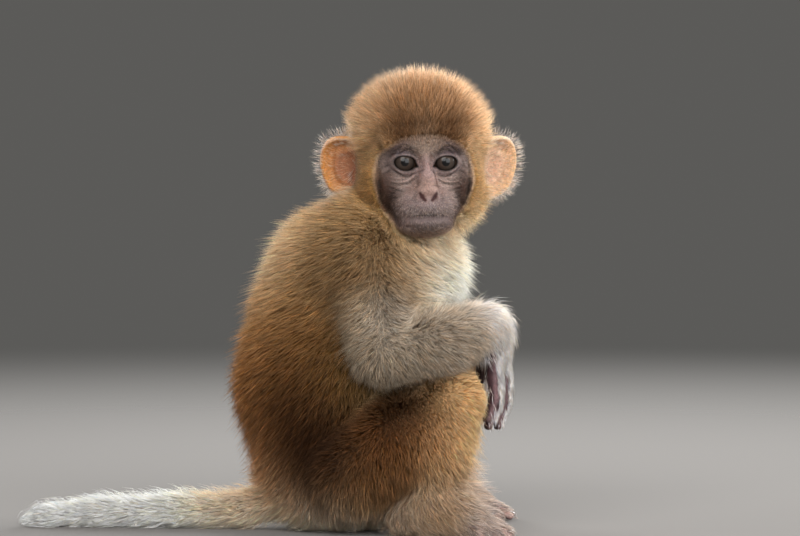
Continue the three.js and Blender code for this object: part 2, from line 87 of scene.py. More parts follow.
def add_softbox(name, place, size, power, colour):
    """A square area light at a place in metres, turned about x and then z by the angles of the line from it
    to the animal's middle."""
    data = bpy.data.lights.new(name, "AREA")
    data.size = size
    data.energy = power
    data.color = colour
    light = bpy.data.objects.new(name, data)
    light.location = place
    aim = np.array(TARGET) * MM - np.array(place)
    yaw = math.atan2(aim[1], aim[0]) - math.pi / 2
    pitch = math.atan2(math.hypot(aim[0], aim[1]), -aim[2])
    light.rotation_euler = (pitch, 0, yaw)
    bpy.context.collection.objects.link(light)


def add_studio():
    """Two large soft lights in front, one at the chest's side, three behind and above that edge the coat,
    and a grey surround."""
    add_softbox("key_softbox", (-0.6, -2.0, 1.5), 1.9, 64, (1, 0.99, 0.98))
    add_softbox("fill_softbox", (1.3, -1.9, 0.8), 1.9, 54, (0.97, 0.98, 1))
    add_softbox("side_softbox", (1.9, 0.35, 0.9), 0.7, 34, (1, 0.99, 0.98))
    add_softbox("rim_softbox_right", (0.85, 1.6, 0.75), 0.8, 38, (0.95, 0.98, 1))
    add_softbox("rim_softbox_left", (-1.2, 1.4, 0.8), 0.8, 27, (0.95, 0.98, 1))
    add_softbox("rim_softbox_top", (0.1, 0.9, 1.5), 0.7, 12, (0.95, 0.98, 1))
    world = bpy.data.worlds.new("studio")
    bpy.context.scene.world = world
    world.use_nodes = True
    background = world.node_tree.nodes["Background"]
    background.inputs["Color"].default_value = (0.105, 0.103, 0.098, 1)
    background.inputs["Strength"].default_value = 1.0
    bpy.context.scene.view_settings.view_transform = "Standard"


# ---- Numbers of the animal: the landmarks that the frame's solids stand on, in millimetres ----
PELVIS = (2, 0, 38)
BELLY = (4, 0, 84)
LAP = (26, 0, 38)
THORAX = (13, 0, 127)
WITHERS = (13, 3, 157)
BREAST = (52, -2, 148)
NECK_BASE = (30, 0, 168)
NECK_TOP = (50, 4, 190)
TRUNK_TWIST = 24
SOLID_HEAD_TURN = (-81, 5, 2)  # yaw, pitch and roll of the frame's head, in degrees
HEAD_TURN = (-83, 5, 0)  # of the head that is shown
JOINTS = {
    "right": {
        "shoulder": (25, -30, 154), "elbow": (35, -50, 102), "midarm": (68, -44, 109),
        "wrist": (93.5, -33, 119), "knuckles": (97.5, -32, 89),
        "hip": (18, -30, 35), "knee": (75, -39, 77), "calf": (66.5, -37, 53), "ankle": (66, -35, 27),
    },
    "left": {
        "shoulder": (45, 28, 155), "elbow": (60, 50, 103), "midarm": (77, 43, 107),
        "wrist": (96, 31, 112), "knuckles": (104, 28, 84),
        "hip": (20, 30, 35), "knee": (78, 38, 76), "calf": (69.5, 36, 53), "ankle": (69, 34, 27),
    },
}
TAIL = [(-14, 0, 21), (-44, 2, 12), (-84, 7, 10.6), (-126, 12, 9.2), (-158, 14, 6.1), (-169, 14, 3.2)]
TAIL_RADII = np.array([15, 12.5, 11, 9.8, 6.6, 3.5])
TAIL_COAT = np.array([8, 7, 6.4, 6, 4, 2.2])  # depth of the tail's coat at those points
FINGER_DROP = 27
FINGER_REACH = (0.8, 0.96, 1, 0.88)
HEEL_BACK = 28
FOOT_LENGTH = 69.5
TOE_SETBACK = (8, 2, 0, 3)
TOE_SPREAD = 1.42
FOOT_TURN = 27

EYE_RADIUS = 8
SOLID_EYE_PLACE = (24, 11.7, 5)  # of the frame's left eye, in the head: x forward, y to its left, z up
EYE_PLACE = (24, 11.6, 3.6)  # of the left eye that is shown
EYE_WIDTH = 12.3  # of the opening between the lids
EYE_HEIGHT = 9.0
EAR_HEIGHT = 36
EAR_WIDTH = 37
EAR_SWEEP = 34
EAR_MIDDLE = (-3, 40.5, -3)


def turned(yaw, pitch, roll):
    """The matrix of a turn by roll about x, then pitch about y, then yaw about z, in degrees."""
    angles = np.radians((yaw, pitch, roll))
    (cz, cy, cx), (sz, sy, sx) = np.cos(angles), np.sin(angles)
    about_z = np.array([[cz, -sz, 0], [sz, cz, 0], [0, 0, 1]])
    about_y = np.array([[cy, 0, sy], [0, 1, 0], [-sy, 0, cy]])
    about_x = np.array([[1, 0, 0], [0, cx, -sx], [0, sx, cx]])
    return about_z @ about_y @ about_x


def middle_of(node):
    """The middle of a frame node's box, in millimetres."""
    low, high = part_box(node)
    return (np.array(low) + np.array(high)) / 2 / MM


BETWEEN_EYES = (middle_of("right_eye") + middle_of("left_eye")) / 2
HEAD = BETWEEN_EYES - turned(*SOLID_HEAD_TURN) @ (np.array(SOLID_EYE_PLACE) * (1, 0, 1))
HEAD_AXES = turned(*HEAD_TURN)
EYES = {side: HEAD + HEAD_AXES @ (np.array(EYE_PLACE) * (1, out, 1)) for side, out in SIDES.items()}


def into_head(p):
    """World points in the head's frame: moved to its middle, then turned by its axes."""
    return ((p - HEAD) @ HEAD_AXES).astype(F)


def out_of_head(q):
    """Points of the head's frame in the world: turned by its axes, then moved to its middle."""
    return np.asarray(q) @ HEAD_AXES.T + HEAD


# ---- Forms: functions of points, negative inside ----
def cone(p, a, b, ra, rb):
    """A round-ended cone: the distance to the line a-b, less the radius at the nearest point of it."""
    a, b = np.asarray(a, F), np.asarray(b, F)
    axis = b - a
    from_a = p - a
    share = np.clip(from_a @ axis / max(float(axis @ axis), 1e-6), 0, 1)
    return np.linalg.norm(from_a - share[:, None] * axis, axis=1) - (ra + (rb - ra) * share)


def ball(p, centre, radius):
    """A ball: the distance to its centre, less its radius."""
    return np.linalg.norm(p - np.asarray(centre, F), axis=1) - radius


def ellipsoid(p, centre, radii, turn=0):
    """An ellipsoid turned about the vertical: its scaled radius k gives the distance k(k-1)/|slope|."""
    radii = np.asarray(radii, F)
    q = p - np.asarray(centre, F)
    if turn:
        c, s = math.cos(math.radians(turn)), math.sin(math.radians(turn))
        q = np.stack([c * q[:, 0] + s * q[:, 1], c * q[:, 1] - s * q[:, 0], q[:, 2]], 1)
    q = q / radii
    k = np.linalg.norm(q, axis=1)
    return k * (k - 1) / np.maximum(np.linalg.norm(q / radii, axis=1), 1e-6)


def soft_min(a, b, k):
    """The smaller of two distances, less (k - |a - b|)^2 / 4k where they are closer than k."""
    return np.minimum(a, b) - np.maximum(k - np.abs(a - b), 0) ** 2 * (0.25 / k)


def blend(k, *forms):
    """The forms joined with a fillet of about k."""
    whole = forms[0]
    for form in forms[1:]:
        whole = soft_min(whole, form, k)
    return whole


def carve(k, form, *tools):
    """The form with the tools cut out of it, its new edges rounded by about k."""
    for tool in tools:
        form = -soft_min(-form, tool, k)
    return form


def chain(p, points, radii, k):
    """Round-ended cones through several points, joined with a fillet."""
    pieces = [cone(p, a, b, ra, rb) for a, b, ra, rb in zip(points, points[1:], radii, radii[1:])]
    return blend(k, *pieces)


def both(form, p, place, *sizes):
    """A form of the head and its mirror image."""
    x, y, z = place
    return form(p, (x, y, z), *sizes), form(p, (x, -y, z), *sizes)


# Each part of the body is given at its coat's outside (bare 0) or at its skin (bare 1).
def trunk(p, bare):
    """Pelvis, belly, thorax and withers as ellipsoids, with balls for breast, lap and shoulders."""
    deep = 14 * bare
    ellipsoids = [
        ellipsoid(p, PELVIS, np.array([43, 40, 42]) - deep),
        ellipsoid(p, BELLY, np.array([58, 46, 55]) - deep),
        ellipsoid(p, THORAX, np.array([57, 44, 46]) - deep, -TRUNK_TWIST),
        ellipsoid(p, WITHERS, np.array([41, 38, 30]) - deep, -TRUNK_TWIST),
    ]
    balls = [ball(p, BREAST, 35 - deep), ball(p, LAP, 37 - deep)]
    balls += [ball(p, JOINTS[side]["shoulder"], 19 - 0.7 * deep) for side in SIDES]
    return blend(26, *ellipsoids, *balls)


def neck(p, bare):
    """One cone from the shoulders up to the skull."""
    return cone(p, NECK_BASE, NECK_TOP, 36 - 9 * bare, 31 - 8 * bare)


def upper_arm(p, side, bare):
    """One cone from the shoulder to the elbow."""
    j = JOINTS[side]
    return cone(p, j["shoulder"], j["elbow"], 24 - 11 * bare, 18.5 - 9 * bare)


def forearm(p, side, bare):
    """Two cones from the elbow through the muscle's belly to the wrist."""
    j = JOINTS[side]
    radii = np.array([18.5, 19.5, 14.5]) - np.array([9, 8.5, 5.5]) * bare
    return chain(p, [j["elbow"], j["midarm"], j["wrist"]], radii, 8)


def thigh(p, side, bare):
    """Two cones from the hip to the knee."""
    j = JOINTS[side]
    hip, knee = np.array(j["hip"]), np.array(j["knee"])
    radii = np.array([31, 29.5, 20]) - np.array([14, 13, 9]) * bare
    return chain(p, [hip, (hip + knee) / 2, knee], radii, 8)


def shin(p, side, bare):
    """Two cones from the knee through the calf to the ankle."""
    j = JOINTS[side]
    radii = np.array([19, 20, 13]) - np.array([8, 8.5, 3.5]) * bare
    return chain(p, [j["knee"], j["calf"], j["ankle"]], radii, 8)


def tail(p, bare):
    """Cones along the tail's line."""
    return chain(p, TAIL, TAIL_RADII - TAIL_COAT * bare, 4)


def finger(side, n):
    """A finger's sideways place in the hand, and its knuckle, middle joint and tip."""
    spread = SIDES[side] * (7.5 - 5 * n)
    reach = FINGER_DROP * FINGER_REACH[n]
    knuckle = np.array(JOINTS[side]["knuckles"]) + (0.5 - 0.8 * abs(n - 1.5), spread, 0)
    middle = knuckle + (0.5, spread * 0.08, -0.5 * reach)
    tip = knuckle + (-3.5, spread * 0.1, -reach)
    return spread, knuckle, middle, tip


def hand(p, side, bare):
    """A hand that hangs from the wrist: carpals, four metacarpals, four fingers and a thumb."""
    out = SIDES[side]
    wrist = np.array(JOINTS[side]["wrist"])
    bones = []
    for n in range(len(FINGER_REACH)):
        spread, *joints = finger(side, n)
        radii = np.array([6.2, 4.6, 3.6, 2.9]) - np.array([1.9, 1.1, 0.7, 0.5]) * bare
        bones.append(chain(p, [wrist + (3, spread * 0.5, -8), *joints], radii, 1.5))
    thumb_root = wrist + (-1, -out * 7, -14)
    thumb_tip = thumb_root + (-3, -out * 5, -18)
    heel = cone(p, wrist, wrist + (3, 0, -14), 12.5 - 4 * bare, 10 - 2.5 * bare)
    thumb = cone(p, thumb_root, thumb_tip, 5 - 0.8 * bare, 3 - 0.4 * bare)
    return blend(2.2, heel, *bones, thumb)


def foot_axes(side):
    """The heel's point on the floor, and the foot's forward and sideways directions."""
    out = SIDES[side]
    angle = math.radians(FOOT_TURN)
    forward = np.array([math.cos(angle), out * math.sin(angle), 0])
    sideways = np.array([-forward[1], forward[0], 0]) * out
    ankle = np.array(JOINTS[side]["ankle"]) * (1, 1, 0)
    return ankle - forward * HEEL_BACK, forward, sideways


def foot(p, side, bare):
    """A foot flat on the floor: heel, instep, four toes and a thumb-like big toe on the inner side."""
    heel, forward, sideways = foot_axes(side)

    def on(length, across, height):
        return heel + forward * length + sideways * across + (0, 0, height)

    sole = chain(p, [on(9, 0, 9), on(30, 0, 14), on(50, 1, 8.4)], np.array([9.5, 14, 8.5]) - 1.4 * bare, 6)
    instep = cone(p, on(30, 0, 22), on(54, 1, 9), 11.5 - 2.6 * bare, 7 - 1.6 * bare)
    toes = []
    for n, setback in enumerate(TOE_SETBACK):
        across = 8.5 - 5.4 * n
        joints = [on(44, across * 0.8, 8.4), on(58, across, 7.2)]
        joints.append(on(FOOT_LENGTH - setback, across * TOE_SPREAD, 2.9))
        toes.append(chain(p, joints, np.array([5.2, 3.7, 3.0]) - 0.6 * bare, 1.0))
    big_joints = [on(30, -7, 7.4), on(44, -14, 4.6), on(54, -18, 3.2)]
    big_toe = chain(p, big_joints, np.array([6, 4.5, 3.5]) - 0.5 * bare, 2)
    return blend(2.2, blend(6, sole, instep), *toes, big_toe)


def skull(q, bare):
    """The furred head in its own frame: braincase, cheeks, and throat with the jaw."""
    braincase_radii = np.array([45, 43.5, 39]) - np.array([9, 10, 9.5]) * bare
    cheek_radii = np.array([26, 19, 25]) - np.array([6, 8, 8]) * bare
    braincase = ellipsoid(q, (-5, 1.5 * (1 - bare), 14), braincase_radii)
    cheeks = both(ellipsoid, q, (4, 22, -11), cheek_radii)
    throat = ellipsoid(q, (10, 0, -22), np.array([22, 27, 20]) - 6 * bare)
    return blend(10, braincase, *cheeks, throat)


def lid_opening(q, out):
    """The almond between the lids, round the line forward from the eye: wider than high, with a small
    inner corner that points down to the nose. The number is about the distance outside it."""
    across = (q[:, 1] - out * EYE_PLACE[1]) * out
    up = q[:, 2] - EYE_PLACE[2]
    height = np.where(up > 0, 0.88, 0.96) * EYE_HEIGHT / 2
    tilt = up - 0.06 * across
    radius = np.sqrt((across / (EYE_WIDTH / 2)) ** 2 + (tilt / height) ** 2)
    almond = (radius - 1) * EYE_HEIGHT / 2
    flat = np.stack([across, tilt, np.zeros_like(tilt)], 1)
    corner = cone(flat, (-4.8, -0.8, 0), (-6.9, -1.6, 0), 1.3, 0.3)
    return soft_min(almond, corner, 0.8)


def nostril(q, out):
    """A comma-shaped slit under the nose's wing: widest in its middle, and drawn out down and inwards."""
    places = [(44.4, out * 5.0, -11.7), (45.1, out * 3.9, -13.5), (45.9, out * 1.9, -15.6)]
    return chain(q, places, [0.45, 0.8, 0.35], 0.5)


def mouth(q):
    """The line between the lips, lower at its ends, with a slight wave."""
    level = np.stack([q[:, 0], q[:, 1], q[:, 2] + 0.012 * q[:, 1] ** 2 + 0.15 * np.sin(1.2 * q[:, 1])], 1)
    return ellipsoid(level, (46, 0, -24.0), (5.2, 13.6, 0.3))


def face(q):
    """The bare face in the head's frame, with sockets, lids, nose, muzzle, lips and chin."""
    mask = blend(
        6,
        ellipsoid(q, (13, 0, -6), (19, 28, 31)),
        cone(q, (27, -17, 14), (27, 17, 14), 5.5, 5.5),
        *both(ball, q, (19, 20, -8), 9),
    )
    bridge = chain(q, [(26.6, 0, 12), (32.2, 0, 0), (40.6, 0, -10.5)], [4.8, 4.6, 5.0], 4)
    wings = both(ball, q, (40, 3.6, -12.6), 3.2)
    muzzle = ellipsoid(q, (29.5, 0, -20), (16.5, 18.5, 12.5))
    upper_lip = ellipsoid(q, (31, 0, -19.5), (16.4, 15.5, 6.6))
    lower_lip = ellipsoid(q, (29.5, 0, -28.4), (15, 15.6, 6.4))
    lips = blend(1.2, upper_lip, lower_lip)
    chin = ellipsoid(q, (26, 0, -30), (14.5, 15.5, 8))
    whole = blend(5, skull(q, 1), mask, muzzle)
    whole = blend(3, whole, bridge, *wings, lips, chin)
    whole = carve(4, whole, *both(ellipsoid, q, (34.5, 12.1, 3.6), (7.4, 9.4, 7.6)))
    for out in SIDES.values():
        eye = (EYE_PLACE[0], out * EYE_PLACE[1], EYE_PLACE[2])
        lid = ball(q, eye, EYE_RADIUS + 1.3)
        whole = blend(1.6, whole, lid)
        opening = np.maximum(lid_opening(q, out), 27 - q[:, 0])
        whole = carve(0.7, whole, opening)
        whole = carve(0.5, whole, nostril(q, out))
    return carve(0.7, whole, mouth(q))


def outside_coat(p):
    """The whole animal out to the tips of its coat."""
    limbs = [form(p, side, 0) for side in SIDES for form in (upper_arm, forearm, thigh, shin)]
    body = blend(14, trunk(p, 0), neck(p, 0))
    ends = [form(p, side, 0) for side in SIDES for form in (hand, foot)]
    whole = blend(6, body, *limbs, tail(p, 0))
    return np.minimum(blend(3, whole, skull(into_head(p), 0)), np.minimum.reduce(ends))


def bare_body(p):
    """The skin of the trunk, neck, limbs and tail, without the head, hands and feet."""
    body = blend(18, trunk(p, 1), neck(p, 1))
    limbs = [blend(6, upper_arm(p, side, 1), forearm(p, side, 1)) for side in SIDES]
    legs = [blend(8, thigh(p, side, 1), shin(p, side, 1)) for side in SIDES]
    return blend(5, blend(9, body, tail(p, 1)), *limbs, *legs)


# ---- From forms to meshes ----
def marks(start, end, step, fine=None, fine_step=None):
    """Grid lines from start to end, closer together inside the range `fine`."""
    lines = [start]
    while lines[-1] < end:
        inside = fine and fine[0] <= lines[-1] < fine[1]
        lines.append(lines[-1] + (fine_step if inside else step))
    return np.array(lines)


def in_batches(form, p, size=400_000):
    """The form's values at many points, worked out in batches that stay small in memory."""
    return np.concatenate([form(p[n:n + size].astype(F)) for n in range(0, len(p), size)])


def net(form, xs, ys, zs):
    """The closed surface where a form is zero: one vertex in each cell of the grid that the surface
    crosses, at the mean of the crossings of its edges, and one quad round each grid edge it crosses."""
    grid = (xs, ys, zs)
    shape = tuple(len(lines) for lines in grid)
    p = np.stack(np.meshgrid(*grid, indexing="ij"), -1).reshape(-1, 3)
    value = in_batches(form, p).reshape(shape)
    value[np.abs(value) < 1e-4] = 1e-4
    inside = value < 0
    cell_shape = tuple(n - 1 for n in shape)
    cells, places, quads = [], [], []
    for axis in range(3):
        along = [slice(None)] * 3
        along[axis] = slice(0, -1)
        ahead = [slice(None)] * 3
        ahead[axis] = slice(1, None)
        crossed = np.nonzero(inside[tuple(along)] != inside[tuple(ahead)])
        near = value[tuple(along)][crossed]
        far = value[tuple(ahead)][crossed]
        share = near / (near - far)
        place = np.stack([grid[d][crossed[d]] for d in range(3)], 1).astype(float)
        lines = grid[axis]
        place[:, axis] += share * (lines[crossed[axis] + 1] - lines[crossed[axis]])
        second, third = (axis + 1) % 3, (axis + 2) % 3
        corners = []
        for back_second, back_third in ((1, 1), (0, 1), (0, 0), (1, 0)):
            cell = [crossed[0].copy(), crossed[1].copy(), crossed[2].copy()]
            cell[second] -= back_second
            cell[third] -= back_third
            corners.append(np.ravel_multi_index(cell, cell_shape))
            places.append(place)
        cells += corners
        quad = np.stack(corners, 1)
        quads.append(np.where((near < 0)[:, None], quad, quad[:, ::-1]))
    cells = np.concatenate(cells)
    places = np.concatenate(places)
    kept, index = np.unique(cells, return_inverse=True)
    count = np.bincount(index)
    points = np.stack([np.bincount(index, places[:, d]) / count for d in range(3)], 1)
    quads = np.searchsorted(kept, np.concatenate(quads))
    return onto(form, points), quads


def slope(form, p, step=0.05):
    """The form's gradient, from its differences over a small step."""
    here = in_batches(form, p)
    ways = [in_batches(form, p + step * axis) - here for axis in np.eye(3)]
    return here, np.stack(ways, 1) / step


def onto(form, points, rounds=2):
    """Slides points along the form's slope to where it is zero."""
    for _ in range(rounds):
        here, way = slope(form, points)
        points = points - way * (np.clip(here, -0.5, 0.5) / np.maximum((way**2).sum(1), 0.2))[:, None]
    return points


def new_object(name, points, faces):
    """A mesh object from points in millimetres and faces of equal length, put down in metres."""
    mesh = bpy.data.meshes.new(name)
    sides = faces.shape[1]
    mesh.vertices.add(len(points))
    mesh.vertices.foreach_set("co", (np.asarray(points) * MM).astype(F).ravel())
    mesh.loops.add(faces.size)
    mesh.loops.foreach_set("vertex_index", faces.astype(np.int32).ravel())
    mesh.polygons.add(len(faces))
    mesh.polygons.foreach_set("loop_start", np.arange(0, faces.size, sides, dtype=np.int32))
    mesh.update(calc_edges=True)
    mesh.shade_smooth()
    made = bpy.data.objects.new(name, mesh)
    bpy.context.collection.objects.link(made)
    return made


def ringed(rows, spokes):
    """Triangles of a closed shape whose points are a first pole, rows of spokes and a last pole: two
    between each row and the next at every spoke, and a fan round each pole."""
    row, spoke = np.meshgrid(np.arange(rows - 1), np.arange(spokes), indexing="ij")
    follow = (spoke + 1) % spokes
    first = 1 + row * spokes
    quads = np.stack([first + spoke, first + spokes + spoke, first + spokes + follow, first + follow], -1)
    quads = quads.reshape(-1, 4)
    spoke = np.arange(spokes)
    follow = (spoke + 1) % spokes
    last = 1 + (rows - 1) * spokes
    caps = np.concatenate([
        np.stack([np.zeros_like(spoke), 1 + spoke, 1 + follow], 1),
        np.stack([np.full_like(spoke, last + spokes), last + follow, last + spoke], 1),
    ])
    return np.concatenate([quads[:, [0, 1, 2]], quads[:, [0, 2, 3]], caps])


def points_of(made):
    """A mesh object's points, in millimetres."""
    points = np.empty(len(made.data.vertices) * 3, F)
    made.data.vertices.foreach_get("co", points)
    return points.reshape(-1, 3).astype(float) / MM


def set_colour(made, name, colours):
    """A colour at each vertex, as linear numbers."""
    layer = made.data.attributes.new(name, "FLOAT_COLOR", "POINT")
    layer.data.foreach_set("color", np.column_stack([colours, np.ones(len(colours))]).astype(F).ravel())


# ---- The skin's shells ----
def crease(q, line, depth, width):
    """How far a fold lowers the points: a groove along a bowed line seen from the front, with a low ridge
    beside it. The line has a start, a middle that it bows through and an end, as (y, z) of the head."""
    start, middle, end = (np.array(place) for place in line)
    share = np.linspace(0, 1, 24)[:, None]
    bow = 2 * middle - (start + end) / 2
    curve = (1 - share) ** 2 * start + 2 * share * (1 - share) * bow + share**2 * end
    gap = np.linalg.norm(q[:, None, 1:] - curve[None], axis=2)
    nearest = gap.argmin(1)
    gap = gap.min(1) / width
    fade = np.sin(np.pi * (0.08 + 0.84 * share[nearest, 0])) ** 0.6
    return fade * depth * (np.exp(-gap**2) - 0.35 * np.exp(-((gap - 1.9) ** 2)))


# The folds of the left half of the face as (y, z) in the head's frame, with depth and width.
FOLDS = [
    (((5.4, 5.2), (11.5, 11.2), (18.4, 4.2)), 0.8, 0.6),  # crease of the upper lid
    (((6.2, 8.0), (12.5, 13.4), (19.8, 6.3)), 0.7, 0.7),  # second crease over it
    (((6.4, -2.2), (12, -4.0), (18.6, 0.4)), 0.9, 0.55),  # groove under the lower lid
    (((4.8, -3.2), (10.5, -7.8), (19.0, -8.0)), 1.0, 0.6),  # fold under the eye
    (((7.2, -2.6), (13.5, -6.2), (20.5, -5.0)), 0.5, 0.5),
    (((12.0, -11.6), (16.5, -11.6), (21.0, -10.4)), 0.8, 0.5),  # wrinkles of the cheek
    (((14.5, -14.2), (17.4, -15.8), (20.2, -14.6)), 0.8, 0.5),
    (((14.0, -18.6), (15.8, -20.6), (17.8, -21.4)), 0.6, 0.55),
    (((16.8, -12.6), (18.6, -13.6), (20.6, -12.8)), 0.5, 0.4),
    (((20.0, 2.2), (22.0, 1.2), (24.2, -0.6)), 0.5, 0.45),  # wrinkles outside the eye
    (((19.8, -0.8), (21.8, -2.2), (23.6, -4.4)), 0.5, 0.45),
    (((5.6, -10.5), (7.8, -14.5), (7.6, -17.0)), 0.45, 0.9),  # side of the nose
    (((24.5, 8.0), (26.4, -4.0), (23.2, -20.0)), 1.3, 1.5),  # hollow inside the edge of the cheek's coat
]


def fold_depths(q):
    """How deep the folds of the bare face are at points of it, in mm."""
    front = np.clip((q[:, 0] - 12) / 8, 0, 1)
    drop = np.zeros(len(q))
    near = (front > 0) & (np.abs(q[:, 1]) < 26) & (q[:, 2] > -34) & (q[:, 2] < 20)
    for out in SIDES.values():
        half = near & (q[:, 1] * out > 0)
        flipped = q[half] * (1, out, 1)
        drop[half] += sum(crease(flipped, line, depth, width) for line, depth, width in FOLDS)
    # the fold between the lower lip and the chin
    drop[near] += crease(q[near], ((-9.5, -30.2), (0, -32.0), (9.5, -30.2)), 0.35, 1.4)
    eyes = np.minimum.reduce([lid_opening(q.astype(F), out) for out in SIDES.values()])
    return drop * front * np.clip((eyes - 0.5) / 1.0, 0, 1)


def fold_face(q):
    """Lowers the folds into the skin, along the face's forward direction."""
    drop = fold_depths(q)
    way = np.array([0.92, 0, 0]) + np.column_stack([np.zeros(len(q)), q[:, 1] * 0.012, q[:, 2] * 0.008])
    return q - way * drop[:, None]


def head_shell():
    """The head's skin, on a grid that is finest over the face."""
    xs = marks(-44, 50, 2.2, (15, 50), 0.66)
    ys = marks(-44, 44, 2.2, (-25, 25), 0.6)
    zs = marks(-48, 46, 2.2, (-41, 19), 0.6)
    points, quads = net(face, xs, ys, zs)
    return new_object("head_shell", out_of_head(fold_face(points)), quads)


def body_shell():
    """The skin of trunk, neck, limbs and tail, on one even grid."""
    low, high = np.array(cad_low) / MM, np.array(cad_high) / MM
    lines = [marks(low[d] - 3, high[d] + 3, 2.4) for d in range(3)]
    points, quads = net(bare_body, *lines)
    return new_object("body_shell", points, quads)


def box_lines(node, step, room=(2, 2, 2)):
    """Grid lines over a frame node's box, with some room round it."""
    low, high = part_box(node)
    return [marks(low[d] / MM - room[d], high[d] / MM + room[d], step) for d in range(3)]


def hand_shell(side):
    """The skin of a hand, on a fine grid."""
    points, quads = net(lambda p: hand(p, side, 1), *box_lines(f"{side}_hand", 0.85, (6, 3, 12)))
    return new_object(f"{side}_hand_shell", points, quads)


def foot_shell(side):
    """The skin of a foot, on a fine grid, pressed flat where it meets the floor."""
    points, quads = net(lambda p: foot(p, side, 1), *box_lines(f"{side}_foot", 0.95, (6, 4, 16)))
    points[:, 2] = np.maximum(points[:, 2], 0.15)
    return new_object(f"{side}_foot_shell", points, quads)


def ear_axes(side):
    """The ear's middle, and its outward, upward and facing directions, in the head's frame."""
    out = SIDES[side]
    sweep = math.radians(EAR_SWEEP)
    outward = np.array([-math.sin(sweep), out * math.cos(sweep), 0])
    facing = np.array([math.cos(sweep), out * math.sin(sweep), 0])
    middle = np.array([EAR_MIDDLE[0], out * EAR_MIDDLE[1] + 1.5, EAR_MIDDLE[2]])
    return middle, outward, np.array([0, 0, 1.0]), facing


def into_ear(p, side):
    """Points in the ear's own frame: outward, up and facing, and the share of the way to its rim."""
    middle, *axes = ear_axes(side)
    local = (into_head(p) - middle) @ np.array(axes).T
    angle = np.arctan2(local[:, 1] / EAR_HEIGHT, local[:, 0] / EAR_WIDTH)
    square = ear_outline(angle)
    reach = np.hypot(local[:, 0] / (0.5 * EAR_WIDTH), local[:, 1] / (0.5 * EAR_HEIGHT)) / square
    return local, reach


def ear_outline(angle):
    """Nearly a square with round corners, fuller at the top outer one and narrower at the lower one."""
    c, s = np.cos(angle), np.sin(angle)
    square = (np.abs(c) ** 2.9 + np.abs(s) ** 2.9) ** (-1 / 2.9)
    return square * (1 + 0.05 * c * np.maximum(s, 0) - 0.2 * np.maximum(-s, 0) * np.maximum(c, 0))


def ear_shell(side, rings=26, spokes=84):
    """An ear as a dished leaf in rings from its middle: a rolled rim, a furrow inside it, the ridge of the
    antihelix, and a deep bowl near the head. The back sheet follows the front one at the leaf's thickness."""
    share = np.linspace(0, 1, rings + 1)[1:, None]
    angle = np.linspace(0, 2 * np.pi, spokes, endpoint=False)[None]
    across = share * ear_outline(angle) * np.cos(angle) * 0.5 * EAR_WIDTH
    up = share * ear_outline(angle) * np.sin(angle) * 0.5 * EAR_HEIGHT
    dish = -5 * (1 - share**2) + 0 * angle
    roll = 0.45 + 0.55 * np.clip(np.cos(angle - 0.9) + 0.4, 0, 1)
    rim = 2.1 * np.exp(-(((share - 0.9) / 0.09) ** 2)) * roll
    furrow = -1.1 * np.exp(-(((share - 0.72) / 0.1) ** 2)) * np.clip(np.cos(angle - 0.7) + 0.5, 0, 1)
    ridge = 1.9 * np.exp(-(((share - 0.5) / 0.1) ** 2)) * np.clip(np.cos(angle + 0.1) + 0.3, 0, 1)
    bowl = -3.2 * np.exp(-(((across + 5) / 6) ** 2 + ((up + 4) / 7.5) ** 2))
    front = dish + rim + furrow + ridge + bowl
    half = 1.15 * np.sqrt(np.maximum(1 - share**6, 0)) + 0 * angle
    wave = 0.35 * np.sin(3 * angle + 1) * share**2
    middle_front = -5 - 3.2 * math.exp(-((5 / 6) ** 2 + (4 / 7.5) ** 2))
    local_front = np.stack([across, up, front + half + wave], -1)
    local_back = np.stack([across, up, front - half + wave], -1)[-2::-1]
    local = np.concatenate([
        [[0, 0, middle_front + 1.15]],
        local_front.reshape(-1, 3),
        local_back.reshape(-1, 3),
        [[0, 0, middle_front - 1.15]],
    ])
    middle, *axes = ear_axes(side)
    points = out_of_head(middle + local @ np.array(axes))
    triangles = ringed(2 * rings - 1, spokes)
    if SIDES[side] < 0:
        triangles = triangles[:, ::-1]
    return new_object(f"{side}_ear_shell", points, triangles)


def joined_skin():
    """One closed skin from the shells, which overlap where they meet."""
    whole = body_shell()
    shells = [head_shell()]
    for side in SIDES:
        shells += [hand_shell(side), foot_shell(side), ear_shell(side)]
    for shell in shells:
        join = whole.modifiers.new("join", "BOOLEAN")
        join.operation = "UNION"
        join.solver = "MANIFOLD"
        join.object = shell
    mesh = bpy.data.meshes.new_from_object(whole.evaluated_get(bpy.context.evaluated_depsgraph_get()))
    for shell in [whole, *shells]:
        bpy.data.objects.remove(shell)
    mesh.name = "skin"
    skin = bpy.data.objects.new("skin", mesh)
    bpy.context.collection.objects.link(skin)
    mesh.shade_smooth()
    return skin


# ---- Colours and materials ----
def linear(colour):
    """An sRGB hex colour as linear red, green and blue."""
    parts = np.array([int(colour[n:n + 2], 16) for n in (1, 3, 5)]) / 255
    return np.where(parts <= 0.04045, parts / 12.92, ((parts + 0.055) / 1.055) ** 2.4)


def rgba(colour):
    """An sRGB hex colour as the linear numbers of a socket."""
    return (*linear(colour), 1)


def new_material(name):
    """An empty material and its tree of nodes."""
    made = bpy.data.materials.new(name)
    made.use_nodes = True
    made.node_tree.nodes.clear()
    return made, made.node_tree


def add(tree, kind, settings=None, **inputs):
    """Adds a node. Settings are its own properties, and each input is a value or another node's output."""
    node = tree.nodes.new(kind)
    for name, value in (settings or {}).items():
        setattr(node, name, value)
    for name, value in inputs.items():
        key = int(name[1:]) if name[0] == "_" else name.replace("_", " ")
        if isinstance(value, bpy.types.NodeSocket):
            tree.links.new(value, node.inputs[key])
        else:
            node.inputs[key].default_value = value
    return node


def finish(tree, shader):
    """Leads a shader to the material's output."""
    add(tree, "ShaderNodeOutputMaterial", Surface=shader)


